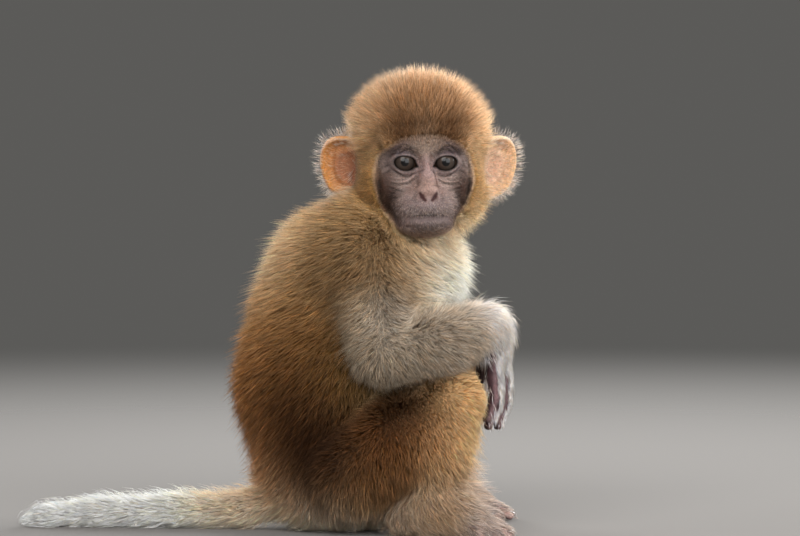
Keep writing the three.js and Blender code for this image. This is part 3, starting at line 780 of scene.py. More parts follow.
def per_metre(millimetres):
    """The scale of a noise whose features are this size, on coordinates in metres."""
    return 1000 / millimetres


MULTIPLIED = {"data_type": "RGBA", "blend_type": "MULTIPLY"}


def skin_material():
    """Living skin, matt and a little moist: fine creases and pores, with warm light under the surface."""
    made, tree = new_material("skin")
    where = add(tree, "ShaderNodeTexCoord").outputs["Object"]
    # the colour attribute holds the skin's own colours with painted shade and painted light in them
    colour = add(tree, "ShaderNodeAttribute", {"attribute_name": "colour_and_painted_light"}).outputs["Color"]
    mottle = add(tree, "ShaderNodeTexNoise", {}, Vector=where, Scale=per_metre(1.2), Detail=4.0)
    mottle.inputs["Roughness"].default_value = 0.75
    shade = add(tree, "ShaderNodeMapRange", {}, Value=mottle.outputs[0], _1=0.3, _2=0.7, _3=0.55, _4=1.42)
    shade = shade.outputs[0]
    grey = add(tree, "ShaderNodeCombineColor", {}, Red=shade, Green=shade, Blue=shade).outputs[0]
    tone = add(tree, "ShaderNodeMix", MULTIPLIED, _0=1.0, _6=colour, _7=grey)
    to_edge = {"feature": "DISTANCE_TO_EDGE"}
    lines = add(tree, "ShaderNodeTexVoronoi", to_edge, Vector=where, Scale=per_metre(0.9))
    pores = add(tree, "ShaderNodeTexNoise", {}, Vector=where, Scale=per_metre(0.45), Detail=2.0).outputs[0]
    height = add(tree, "ShaderNodeMath", {"operation": "MULTIPLY_ADD"}, _0=lines.outputs[0], _1=0.6, _2=pores)
    bump = add(tree, "ShaderNodeBump", {}, Strength=0.9, Distance=0.0006, Height=height.outputs[0]).outputs[0]
    gloss = add(tree, "ShaderNodeMapRange", {}, Value=pores, _3=0.46, _4=0.62).outputs[0]
    shader = add(tree, "ShaderNodeBsdfPrincipled", {}, Base_Color=tone.outputs[2], Roughness=gloss)
    tree.links.new(bump, shader.inputs["Normal"])
    shader.inputs["Specular IOR Level"].default_value = 0.3
    shader.inputs["Subsurface Weight"].default_value = 0.18
    shader.inputs["Subsurface Radius"].default_value = (1, 0.4, 0.3)
    shader.inputs["Subsurface Scale"].default_value = 0.0016
    finish(tree, shader.outputs[0])
    return made


def eye_material():
    """The eyeball under its cornea: a dark olive-brown iris with radial fibres and a darker rim, a round
    pupil, and a brown white of the eye, as macaques have."""
    made, tree = new_material("eyeball")
    colour = add(tree, "ShaderNodeAttribute", {"attribute_name": "iris"}).outputs["Color"]
    shader = add(tree, "ShaderNodeBsdfPrincipled", {}, Base_Color=colour, Roughness=0.5)
    shader.inputs["Specular IOR Level"].default_value = 0.1
    shader.inputs["Coat Weight"].default_value = 0.45
    shader.inputs["Coat Roughness"].default_value = 0.02
    finish(tree, shader.outputs[0])
    return made


# ---- Markings, with painted shade and light among them: hair colours that fade into each other round named places ----
# Each place is a joint's name, or a point in millimetres on the left half, and stands for both halves.
# The reach is how far its colour holds.
COAT_COLOURS = [
    ("nape", (0, 10, 192), 16, "#b08c5c"),
    ("neck_side", (22, 30, 182), 15, "#a5814c"),
    ("withers", (-12, 8, 178), 18, "#eed0aa"),
    ("shoulder_blade", (4, 44, 160), 18, "#a8875a"),
    ("upper_back", (-36, 10, 150), 20, "#f4d6b4"),
    ("flank_top", (-14, 42, 138), 18, "#a67c44"),
    ("mid_back", (-50, 12, 112), 22, "#aa7a42"),
    ("flank", (-14, 46, 108), 18, "#8c602c"),
    ("waist", (14, 46, 92), 16, "#937038"),
    ("lower_back", (-48, 12, 72), 20, "#a8733a"),
    # painted shade: the low flank is darkened for the shade on the lower body
    ("low_flank", (-16, 46, 72), 18, "#4a2c10"),
    ("rump", (-40, 14, 40), 18, "#c08e60"),
    # painted shade: the hip is darkened for the shade on the lower body
    ("hip", (-6, 46, 48), 15.5, "#311a08"),
    # pale underparts, made paler still as painted light against the shade near the floor
    ("rump_low", (-26, 24, 10), 19, "#fbeedd"),
    ("hip_low", (6, 46, 8), 17, "#f0e0cc"),
    ("tail_root", (-46, 2, 13), 14, "#f2e2d0"),
    ("tail", (-90, 8, 16), 26, "#fff8f2"),
    ("tail_tip", (-160, 14, 8), 22, "#fffaf6"),
    ("shoulder", "shoulder", 17, "#a08058"),
    ("chest", (82, 4, 146), 17, "#fbf7f0"),
    ("chest_side", (66, 34, 150), 14, "#fffefa"),
    ("breast", (52, 40, 152), 12, "#ddccb8"),
    # painted shade in the armpit
    ("armpit_shade", (42, 46, 138), 7, "#5a5048"),
    ("throat", (66, 12, 172), 13, "#fbf3e9"),
    ("belly", (50, 10, 90), 16, "#e0d2be"),
    # painted shade: the thigh's top and the thigh are darkened, nearly black in the crease above the thigh
    ("thigh_top", (40, 58, 88), 13, "#140a04"),
    ("thigh", (44, 62, 62), 15, "#60340f"),
    ("thigh_low", (30, 58, 38), 14, "#8a6034"),
    ("knee", "knee", 15, "#e0b880"),
    ("shin_front", (92, 44, 62), 12, "#f2d6aa"),
    ("calf", (62, 58, 52), 13, "#f6d4a6"),
    ("calf_low", (54, 56, 27), 13, "#c8a070"),
    ("heel", (48, 50, 9), 11, "#b8a494"),
    ("ankle", "ankle", 12, "#c2b0a2"),
    ("foot", (96, 46, 12), 13, "#b8a8a0"),
]
# The same on the arms.
ARM_COLOURS = [
    ("shoulder", "shoulder", 17, "#9a7a54"),
    ("arm_crest", (35, 61, 128), 12, "#f6ede2"),
    # painted shade in the fold between the arm and the body
    ("arm_fold_shade", (41, 54, 134), 6.5, "#665a50"),
    ("arm_back", (8, 60, 120), 12, "#a48662"),
    ("elbow", "elbow", 17, "#a89884"),
    ("forearm", "midarm", 16, "#ac9c8a"),
    ("wrist", "wrist", 11, "#f2eae2"),
    ("hand", "knuckles", 12, "#e4dcd6"),
]
# The same on the head, as points of its left half in its own frame.
HEAD_COLOURS = [
    ("crown", (-6, 0, 52), 20, "#dab48c"),
    ("crown_side", (0, 32, 36), 15, "#cea67c"),
    ("forehead", (26, 9, 34), 11, "#8a6038"),
    ("brow_edge", (33, 12, 24), 5.5, "#503620"),
    ("forehead_middle", (32, 0, 30), 6, "#a07a54"),
    ("brow_middle", (35, 0, 22), 4.5, "#80695a"),
    ("temple", (18, 36, 14), 11, "#dab88c"),
    ("ear_front", (4, 42, 2), 10, "#dcb888"),
    ("cheek", (20, 36, -8), 11, "#dcb480"),
    ("cheek_edge", (26, 29, -8), 5, "#b08850"),
    ("low_cheek", (18, 30, -24), 10, "#c8a26c"),
    ("jaw", (20, 14, -40), 9, "#b8966c"),
    ("back_of_head", (-42, 0, 16), 22, "#ac8a5c"),
    ("head_low_back", (-32, 10, -12), 18, "#b8966a"),
]


def patch_places(patches, of_head):
    """Every patch on both halves: middles in millimetres, reaches, and logarithms of linear colours, so
    that they mix as pigments do and dark fur stays dark beside pale fur."""
    middles, reaches, colours = [], [], []
    for _, place, reach, colour in patches:
        for side, out in SIDES.items():
            point = JOINTS[side][place] if isinstance(place, str) else np.array(place) * (1, out, 1)
            middles.append(out_of_head(point) if of_head else point)
            reaches.append(reach)
            colours.append(linear(colour))
    return np.array(middles, F), np.array(reaches, F), np.log(np.array(colours, F) + 0.002)


def faded(points, middles, reaches, values):
    """Values that fade into each other: each counts by exp(-(distance / reach)^2 / 2), and the counts are
    shared to a sum of 1."""
    total = np.zeros((len(points), values.shape[1]), F)
    weight = np.zeros((len(points), 1), F)
    nearest = np.full(len(points), 1e9, F)
    for middle, reach in zip(middles, reaches):
        nearest = np.minimum(nearest, ((points - middle) ** 2).sum(1) / (2 * reach**2))
    for middle, reach, value in zip(middles, reaches, values):
        share = np.exp(nearest - ((points - middle) ** 2).sum(1) / (2 * reach**2))[:, None]
        total += share * value
        weight += share
    return total / weight


def coat_colour(points):
    """The coat's colour at points: the arms' places on the arms, and the body's and head's elsewhere. The
    logarithms that patch_places gives are faded into each other and then raised again."""
    points = points.astype(F)
    shares = shares_of(part_distances(points))
    names = list(FUR)
    on_arm = sum(shares[:, names.index(part)] for part in ("upper_arm", "forearm", "hand"))[:, None]
    on_hand = shares[:, names.index("hand")]
    body = patch_places(COAT_COLOURS, False)
    head = patch_places(HEAD_COLOURS, True)
    elsewhere = np.exp(faded(points, *(np.concatenate(pair) for pair in zip(body, head))))
    arm = tinted(np.exp(faded(points, *patch_places(ARM_COLOURS, False))), "#f0eaea", on_hand)
    return elsewhere * (1 - on_arm) + arm * on_arm


# ---- Comb: which way the coat lies, as strokes round named places, in the same way ----
BODY_STROKES = [
    ("nape", (0, 12, 190), 16, (-1, 0.1, -0.15)),
    ("neck_side", (20, 32, 180), 13, (-0.55, 0.25, -0.75)),
    ("shoulder_top", (20, 38, 166), 14, (-0.45, 0.3, -0.85)),
    ("collar", (44, 38, 168), 12, (0.0, 0.3, -0.9)),
    ("withers", (-14, 14, 176), 18, (-0.85, 0.1, -0.5)),
    ("shoulder_blade", (4, 44, 158), 16, (-0.7, 0, -0.65)),
    ("upper_back", (-36, 14, 150), 20, (-0.65, 0.1, -0.7)),
    ("flank_top", (-12, 42, 138), 18, (-0.7, 0, -0.7)),
    ("mid_back", (-50, 14, 112), 20, (-0.5, 0.1, -0.8)),
    ("flank", (-12, 46, 108), 18, (-0.65, 0, -0.75)),
    ("waist", (16, 46, 92), 15, (-0.45, 0, -0.85)),
    ("lower_back", (-48, 14, 72), 20, (-0.3, 0.1, -0.95)),
    ("low_flank", (-14, 46, 72), 18, (-0.6, 0, -0.8)),
    ("hip", (0, 46, 44), 18, (-0.25, 0.1, -1)),
    ("rump", (-38, 18, 38), 18, (-0.2, 0.1, -1)),
    ("hip_low", (10, 44, 14), 16, (0.05, 0.15, -1)),
    ("chest", (80, 8, 146), 16, (0.5, 0.1, -0.8)),
    ("chest_side", (62, 34, 152), 14, (0.85, 0.1, -0.4)),
    ("throat", (62, 14, 174), 12, (0.5, 0.2, -0.8)),
    ("belly", (50, 10, 90), 24, (0.1, 0.1, -1)),
    ("lap", (58, 36, 86), 13, (0.85, 0.1, 0.3)),
    ("thigh_top", (46, 58, 82), 13, (0.7, 0.1, -0.55)),
    ("thigh", (42, 60, 60), 15, (0.25, 0.1, -0.95)),
    ("thigh_back", (18, 56, 44), 14, (0.05, 0.1, -1)),
    ("knee_side", (82, 54, 84), 12, (0.9, 0.05, -0.45)),
    ("knee_front", (94, 40, 72), 10, (0.6, 0.2, -0.8)),
    ("shin_side", (74, 56, 56), 13, (0.65, 0.1, -0.75)),
    ("calf", (52, 56, 40), 14, (0.25, 0.15, -0.95)),
    ("ankle_side", (70, 50, 26), 12, (0.5, 0.15, -0.85)),
    ("foot", (92, 44, 14), 14, (0.85, 0.4, -0.35)),
    ("tail_root", (-44, 2, 12), 16, (-1, 0, -0.05)),
    ("tail", (-90, 8, 10), 26, (-1, 0.12, 0)),
    ("tail_tip", (-150, 14, 7), 22, (-1, 0.05, -0.05)),
]
# Strokes round the joints of each arm, with an offset outwards, as x, outward and z.
ARM_STROKES = [
    ("shoulder", (0, 20, 6), 12, (-0.15, 0.3, -0.95)),
    ("shoulder", (-10, 22, -16), 11, (-0.7, 0.1, -0.6)),
    ("shoulder", (10, 26, -20), 9, (0.05, 0.1, -1)),
    ("elbow", (-10, 14, 16), 10, (-0.6, 0.05, -0.8)),
    ("elbow", (-2, 14, -6), 10, (0.0, 0, -1)),
    ("elbow", (14, 14, 10), 11, (0.6, 0, -0.75)),
    ("midarm", (-8, 14, 0), 12, (0.8, 0, -0.6)),
    ("midarm", (6, 4, 16), 11, (0.95, 0, 0.05)),
    ("midarm", (16, 12, 0), 11, (0.85, 0, -0.5)),
    ("wrist", (0, 6, 10), 9, (0.85, 0, -0.35)),
    ("wrist", (8, 4, -8), 9, (0.35, 0, -0.95)),
    ("knuckles", (6, 0, 0), 12, (0.12, 0, -1)),
    ("knuckles", (2, 0, -20), 12, (-0.05, 0, -1)),
]
HEAD_STROKES = [
    ("brow_middle", (36, 0, 24), 7, (0.1, 0, 1)),
    ("brow_side", (32, 16, 22), 8, (0.0, 0.5, 0.85)),
    ("forehead", (26, 10, 40), 13, (-0.4, 0.15, 0.9)),
    ("crown", (-6, 0, 52), 20, (-1, 0.1, 0)),
    ("crown_side", (6, 34, 36), 14, (-0.45, 0.75, 0.35)),
    ("temple", (20, 34, 16), 10, (-0.45, 0.9, 0.15)),
    ("cheek", (22, 34, -6), 10, (-0.4, 0.95, 0.0)),
    ("low_cheek", (20, 30, -22), 10, (-0.25, 0.85, -0.45)),
    ("jaw", (20, 16, -38), 9, (0.35, 0.5, -0.8)),
    ("throat", (18, 0, -42), 9, (0.55, 0, -0.8)),
    ("ear_root", (-4, 42, 4), 10, (-0.8, 0.5, 0.0)),
    ("back_of_head", (-40, 10, 16), 22, (-0.2, 0.1, -1)),
]


def comb_strokes():
    """Every stroke on both halves: middles, reaches and directions in the world."""
    rows = []
    for _, place, reach, way in BODY_STROKES:
        for out in SIDES.values():
            rows.append((np.array(place) * (1, out, 1), reach, np.array(way) * (1, out, 1)))
    for joint, offset, reach, way in ARM_STROKES:
        for side, out in SIDES.items():
            middle = JOINTS[side][joint] + np.array(offset) * (1, out, 1)
            rows.append((middle, reach, np.array(way) * (1, out, 1)))
    for _, place, reach, way in HEAD_STROKES:
        for out in SIDES.values():
            middle = out_of_head(np.array(place) * (1, out, 1))
            rows.append((middle, reach, HEAD_AXES @ (np.array(way) * (1, out, 1))))
    middles, reaches, ways = zip(*rows)
    return np.array(middles, F), np.array(reaches, F), np.array(ways, F)


# ---- Space round the animal, sampled on a grid so that hairs can feel their way ----
class Space:
    """Numbers on a regular grid over the animal, read between the grid points in proportion."""

    def __init__(self, low, step, values):
        self.low, self.step, self.values = low, step, values

    def __call__(self, points):
        place = (points - self.low) / self.step
        place = np.clip(place, 0, np.array(self.values.shape[:3]) - 1.001)
        cell = place.astype(int)
        part = (place - cell).astype(F)
        total = 0
        for corner in range(8):
            ends = [(corner >> d) & 1 for d in range(3)]
            share = np.prod([part[:, d] if ends[d] else 1 - part[:, d] for d in range(3)], axis=0)
            value = self.values[cell[:, 0] + ends[0], cell[:, 1] + ends[1], cell[:, 2] + ends[2]]
            total = total + (share[:, None] * value if value.ndim == 2 else share * value)
        return total


def sampled(form, step, room=22):
    """A form's values over the animal's box and the space round it."""
    low, high = np.array(cad_low) / MM - room, np.array(cad_high) / MM + room
    lines = [np.arange(low[d], high[d], step) for d in range(3)]
    p = np.stack(np.meshgrid(*lines, indexing="ij"), -1)
    values = in_batches(form, p.reshape(-1, 3)).astype(F)
    return Space(low, step, values.reshape(*p.shape[:3], *values.shape[1:]))


def slopes(space):
    """The direction in which the numbers of a space grow."""
    way = np.stack(np.gradient(space.values), -1)
    way /= np.maximum(np.linalg.norm(way, axis=-1, keepdims=True), 1e-6)
    return Space(space.low, space.step, way.astype(F))


def spreading(comb):
    """How fast the comb's strokes part from each other, per mm, where they do."""
    values = comb.values
    total = sum(np.gradient(values[..., d], comb.step, axis=d) for d in range(3))
    return Space(comb.low, comb.step, np.clip(total, 0, 0.12).astype(F))


def whole_skin(p):
    """The distance from all of the skin, with the ears as flat leaves."""
    ends = [form(p, side, 1) for side in SIDES for form in (hand, foot)]
    ears = []
    for side in SIDES:
        local, reach = into_ear(p, side)
        leaf = np.abs(local[:, 2] + 5 * (1 - np.minimum(reach, 1) ** 2)) - 1.2
        ears.append(np.maximum(leaf, (reach - 1) * 16).astype(F))
    return np.minimum.reduce([bare_body(p), face(into_head(p)), *ends, *ears])


# ---- Fur of each part: hair length, width and depth of the coat in mm, and hairs to a square mm ----
FUR = {
    "trunk": (16.0, 0.36, 14, 1.5),
    "neck": (13.0, 0.33, 9, 2.1),
    "head": (11.0, 0.25, 8.4, 3.6),
    "upper_arm": (14.0, 0.32, 10.5, 2.0),
    "forearm": (12.5, 0.30, 8, 2.3),
    "hand": (11.5, 0.26, 2.6, 2.8),
    "thigh": (14.0, 0.35, 12, 1.8),
    "shin": (13.5, 0.35, 7.5, 2.0),
    "foot": (9.5, 0.25, 2.6, 2.6),
    "tail": (12.5, 0.36, 6.5, 2.0),
    "ear": (4.6, 0.20, 2.2, 2.0),
}


def part_distances(p):
    """Each part's distance at points, in the order of FUR, the nearer side's for paired parts."""
    paired = {
        "upper_arm": upper_arm, "forearm": forearm, "hand": hand,
        "thigh": thigh, "shin": shin, "foot": foot,
    }
    single = {"trunk": trunk, "neck": neck, "tail": tail}
    rows = []
    for name in FUR:
        if name in paired:
            rows.append(np.minimum(*(paired[name](p, side, 1) for side in SIDES)))
        elif name in single:
            rows.append(single[name](p, 1))
        elif name == "head":
            rows.append(face(into_head(p)))
        else:
            leaves = []
            for side in SIDES:
                local, reach = into_ear(p, side)
                leaf = np.abs(local[:, 2] + 5 * (1 - np.minimum(reach, 1) ** 2)) - 4.5
                leaves.append(np.maximum(np.maximum(leaf, (reach - 1.02) * 18), 2 * (-9 - local[:, 0])))
            rows.append(np.minimum(*leaves) - 1)
    return np.stack(rows, 1)


def shares_of(distances, softness=2.5):
    """How much each point belongs to each part: exp(-distance / softness), shared to a sum of 1."""
    weight = np.exp(-(distances - distances.min(1, keepdims=True)) / softness)
    return weight / weight.sum(1, keepdims=True)


def beyond_face(q):
    """Millimetres outside the edge of the bare face, seen from the front: a disc that narrows to the chin."""
    up = q[:, 2] + 8
    height = np.where(up > 0, 26, 31.0)
    width = 28.5 * (1 - 0.26 * np.clip(-up / 30, 0, 1))
    radius = ((np.abs(q[:, 1]) / width) ** 2.4 + (np.abs(up) / height) ** 2.4) ** (1 / 2.4)
    under = 9 + 0.75 * np.maximum(-10 - q[:, 2], 0)
    return np.maximum((radius - 1) * 27, under - q[:, 0])


# Colours of the bare face, as places of its left half in the head's frame.
FACE_COLOURS = [
    ("bridge", (36, 0, 0), 4.5, "#a2857f"),
    ("brow_skin", (33, 5, 15), 4.5, "#9c8676"),
    # painted shade: the skin over each eye, darkened for the shade of the brow
    ("brow_shade_over_eye", (31, 13, 14), 3.6, "#5c4a48"),
    ("upper_lid", (32, 12, 10), 3.2, "#66565a"),
    ("eye_rim", (32, 12, 5), 5.0, "#463834"),
    ("lower_lid", (31, 12, -1), 2.6, "#7f6965"),
    ("outer_eye", (27, 22, 4), 3.6, "#7c6a64"),
    ("under_eye", (31, 13, -5), 3.6, "#b8a095"),
    ("nose", (43, 0, -9), 4.0, "#a18377"),
    ("nose_side", (37, 7, -9), 3.6, "#9c7f76"),
    # painted shade inside the nostrils
    ("nostril", (45, 3, -13.5), 1.3, "#5c3630"),
    ("muzzle", (42, 6, -19), 4.5, "#806c68"),
    ("upper_lip", (45, 2, -21), 3.4, "#8a7876"),
    # painted shade in the gap between the lips
    ("mouth_line_shade", (47, 0, -24.2), 1.6, "#4c383c"),
    ("lower_lip", (43, 3, -28), 3.6, "#7c6c68"),
    ("chin", (38, 0, -34), 4.4, "#6e5a54"),
    ("chin_side", (32, 12, -30), 4.4, "#7a6662"),
    ("cheek_skin", (35, 12, -13), 4.0, "#a08a82"),
    ("cheek_low", (34.5, 11.5, -20), 3.8, "#8c766f"),
    # painted shade: the sides of the bare face, darkened for the shadow under the cheeks' coat
    ("face_side", (28, 20.5, -9), 5.0, "#40281d"),
    ("face_side_low", (30, 17, -18.5), 4.4, "#38231a"),
    ("face_side_bottom", (29, 15.5, -26), 3.4, "#46332b"),
    ("face_rim", (20, 28, -4), 3.4, "#86684f"),
    ("face_rim_side", (21, 26, -14), 3.2, "#6e5240"),
    ("face_rim_high", (22, 24, 14), 3.6, "#a0846f"),
    ("face_rim_low", (22, 21, -30), 3.6, "#9c7c64"),
]


EYE_RINGS = [  # round the opening: its edge, the bare rim of the lids, and painted shade in the groove round them
    (0.0, 0.5, "#120d0b", 0.95),
    (1.2, 0.45, "#8a7975", 0.6),
    # painted shade in the groove round the lids
    (2.2, 0.5, "#43353a", 0.55),
]


EAR_COLOURS = {  # of the bowl, the leaf and the rim: the right ear is the redder one, its orange leaf and rim a painted glow of light shining through it
    "right": ("#7e4b3a", "#a26c4c", "#cc8c48"),
    "left": ("#c49884", "#e0b698", "#e8bc8c"),
}


def tinted(colours, tone, share):
    """Colours with a share of one more tone in them."""
    share = share[:, None]
    return colours * (1 - share) + linear(tone) * share


def face_colour(q):
    """The bare face's colours: its places, darker in the folds by up to 0.6 of their depth in mm as painted
    shade, with the rings round the eyes, painted shade in the nostrils and the line of the mouth, and a
    painted rim highlight."""
    middles, reaches, tones = [], [], []
    for _, place, reach, colour in FACE_COLOURS:
        for out in SIDES.values():
            middles.append(np.array(place) * (1, out, 1))
            reaches.append(reach)
            tones.append(linear(colour))
    bare = 0.82 * faded(q.astype(F), np.array(middles, F), np.array(reaches, F), np.array(tones, F))
    # painted shade: darker in the folds, by up to 0.6 of their depth in mm
    bare = bare * (1 - 0.6 * np.clip(1.2 * fold_depths(q), -0.25, 1.2))[:, None]
    front = (q[:, 0] > 24).astype(F)
    for out in SIDES.values():
        gap = lid_opening(q, out)
        level = np.clip(np.abs(q[:, 2] - EYE_PLACE[2]) / 3, 0, 1)
        above = q[:, 2] > EYE_PLACE[2]
        for place, width, colour, most in EYE_RINGS:
            share = most * front * np.exp(-(((gap - place) / width) ** 2))
            bare = tinted(bare, colour, share if place == 0 else share * level * np.where(above, 0.55, 1))
        # painted shade: the insides of the nostrils darkened
        bare = tinted(bare, "#34120e", front * np.exp(-((np.maximum(nostril(q, out) - 0.1, 0) / 0.5) ** 2)))
    # painted shade: the line between the lips darkened
    bare = tinted(bare, "#38282a", 0.6 * front * np.exp(-((mouth(q) / 0.4) ** 2)))
    # painted highlight: a pale line along the edge of the bare face, below the brow
    painted_rim_highlight = 0.6 * np.exp(-(((beyond_face(q) + 0.2) / 0.5) ** 2)) * (q[:, 2] < 12)
    return tinted(bare, "#c9a48e", painted_rim_highlight)


def hand_and_foot_colour(colours, points, normals, side):
    """The colours with a side's hand, darker in the palm, and its foot, darker on the sole."""
    wrist = JOINTS[side]["wrist"]
    on_hand = np.clip(1.5 - hand(points.astype(F), side, 1), 0, 1)
    on_hand = (on_hand * np.clip((wrist[2] - 8 - points[:, 2]) / 6, 0, 1))[:, None]
    palm = np.clip(0.6 - 1.6 * normals[:, 0], 0.25, 1)[:, None]
    tone = linear("#7d6264") * (1 - palm) + linear("#331b21") * palm
    colours = colours * (1 - on_hand) + tone * on_hand
    on_foot = np.clip(1.5 - foot(points.astype(F), side, 1), 0, 1)
    on_foot = (on_foot * np.clip((24 - points[:, 2]) / 6, 0, 1))[:, None]
    sole = np.clip(-1.5 * normals[:, 2] - 0.2, 0, 1)[:, None]
    tone = linear("#c9a9a0") * (1 - sole) + linear("#6a4f4c") * sole
    return colours * (1 - on_foot) + tone * on_foot


def skin_colour(points, normals):
    """The skin's colours: the coat's own colours, darker under the coat as painted shade, and the bare face,
    ears, palms and soles.
    """
    # painted shade: the skin under the coat is darker than the hair over it
    colours = coat_colour(points) * 0.8
    q = into_head(points)
    bare = face_colour(q)
    beyond = beyond_face(q)
    share = np.clip(0.5 - beyond / 2.5, 0, 1)[:, None]
    colours = colours * (1 - share) + bare * share
    for side in SIDES:
        local, reach = into_ear(points, side)
        leaf = (np.abs(local[:, 2] + 5 * (1 - np.minimum(reach, 1) ** 2)) < 5) & (reach < 1.06)
        leaf &= (face(q) > 0.4) & (local[:, 0] > -16)
        inner = np.exp(-(((local[:, 0] + 5) / 7) ** 2 + ((local[:, 1] + 3) / 10) ** 2))[:, None]
        rim = np.clip((reach - 0.45) / 0.5, 0, 1)[:, None]
        # the right ear's leaf and rim tones are a painted glow of light through the ear
        bowl_tone, leaf_tone, rim_tone = (linear(colour) for colour in EAR_COLOURS[side])
        tone = leaf_tone * (1 - rim) + rim_tone * rim
        tone = tone * (1 - 0.75 * inner) + bowl_tone * 0.75 * inner
        colours = np.where(leaf[:, None], tone, colours)
        colours = hand_and_foot_colour(colours, points, normals, side)
    return colours


# ---- The coat ----
STEPS = 6  # a hair's steps from root to tip
SIDES_OF_HAIR = 3


def scattered(skin, count_per_area):
    """Random roots on the skin with their normals: each triangle gets its area times the density."""
    mesh = skin.data
    mesh.calc_loop_triangles()
    corners = np.empty(len(mesh.loop_triangles) * 3, np.int32)
    mesh.loop_triangles.foreach_get("vertices", corners)
    normals = np.empty(len(mesh.vertices) * 3, F)
    mesh.vertices.foreach_get("normal", normals)
    normals = normals.reshape(-1, 3)
    points = points_of(skin)
    a, b, c = (corners.reshape(-1, 3)[:, n] for n in range(3))
    order = np.lexsort(np.round((points[a] + points[b] + points[c]) / 3, 2).T)
    a, b, c = a[order], b[order], c[order]
    area = np.linalg.norm(np.cross(points[b] - points[a], points[c] - points[a]), axis=1) / 2
    middle = (points[a] + points[b] + points[c]) / 3
    facing = normals[a] + normals[b] + normals[c]
    facing /= np.maximum(np.linalg.norm(facing, axis=1, keepdims=True), 1e-6)
    density = count_per_area(middle, facing)
    chosen = np.repeat(np.arange(len(a)), draw.poisson(density * area))
    u, v = np.sqrt(draw.random(len(chosen))), draw.random(len(chosen))
    shares = np.stack([1 - u, u * (1 - v), u * v], 1)
    trio = np.stack([a, b, c], 1)[chosen]
    roots = (points[trio] * shares[:, :, None]).sum(1)
    way = (normals[trio] * shares[:, :, None]).sum(1)
    return roots, way / np.maximum(np.linalg.norm(way, axis=1, keepdims=True), 1e-6)


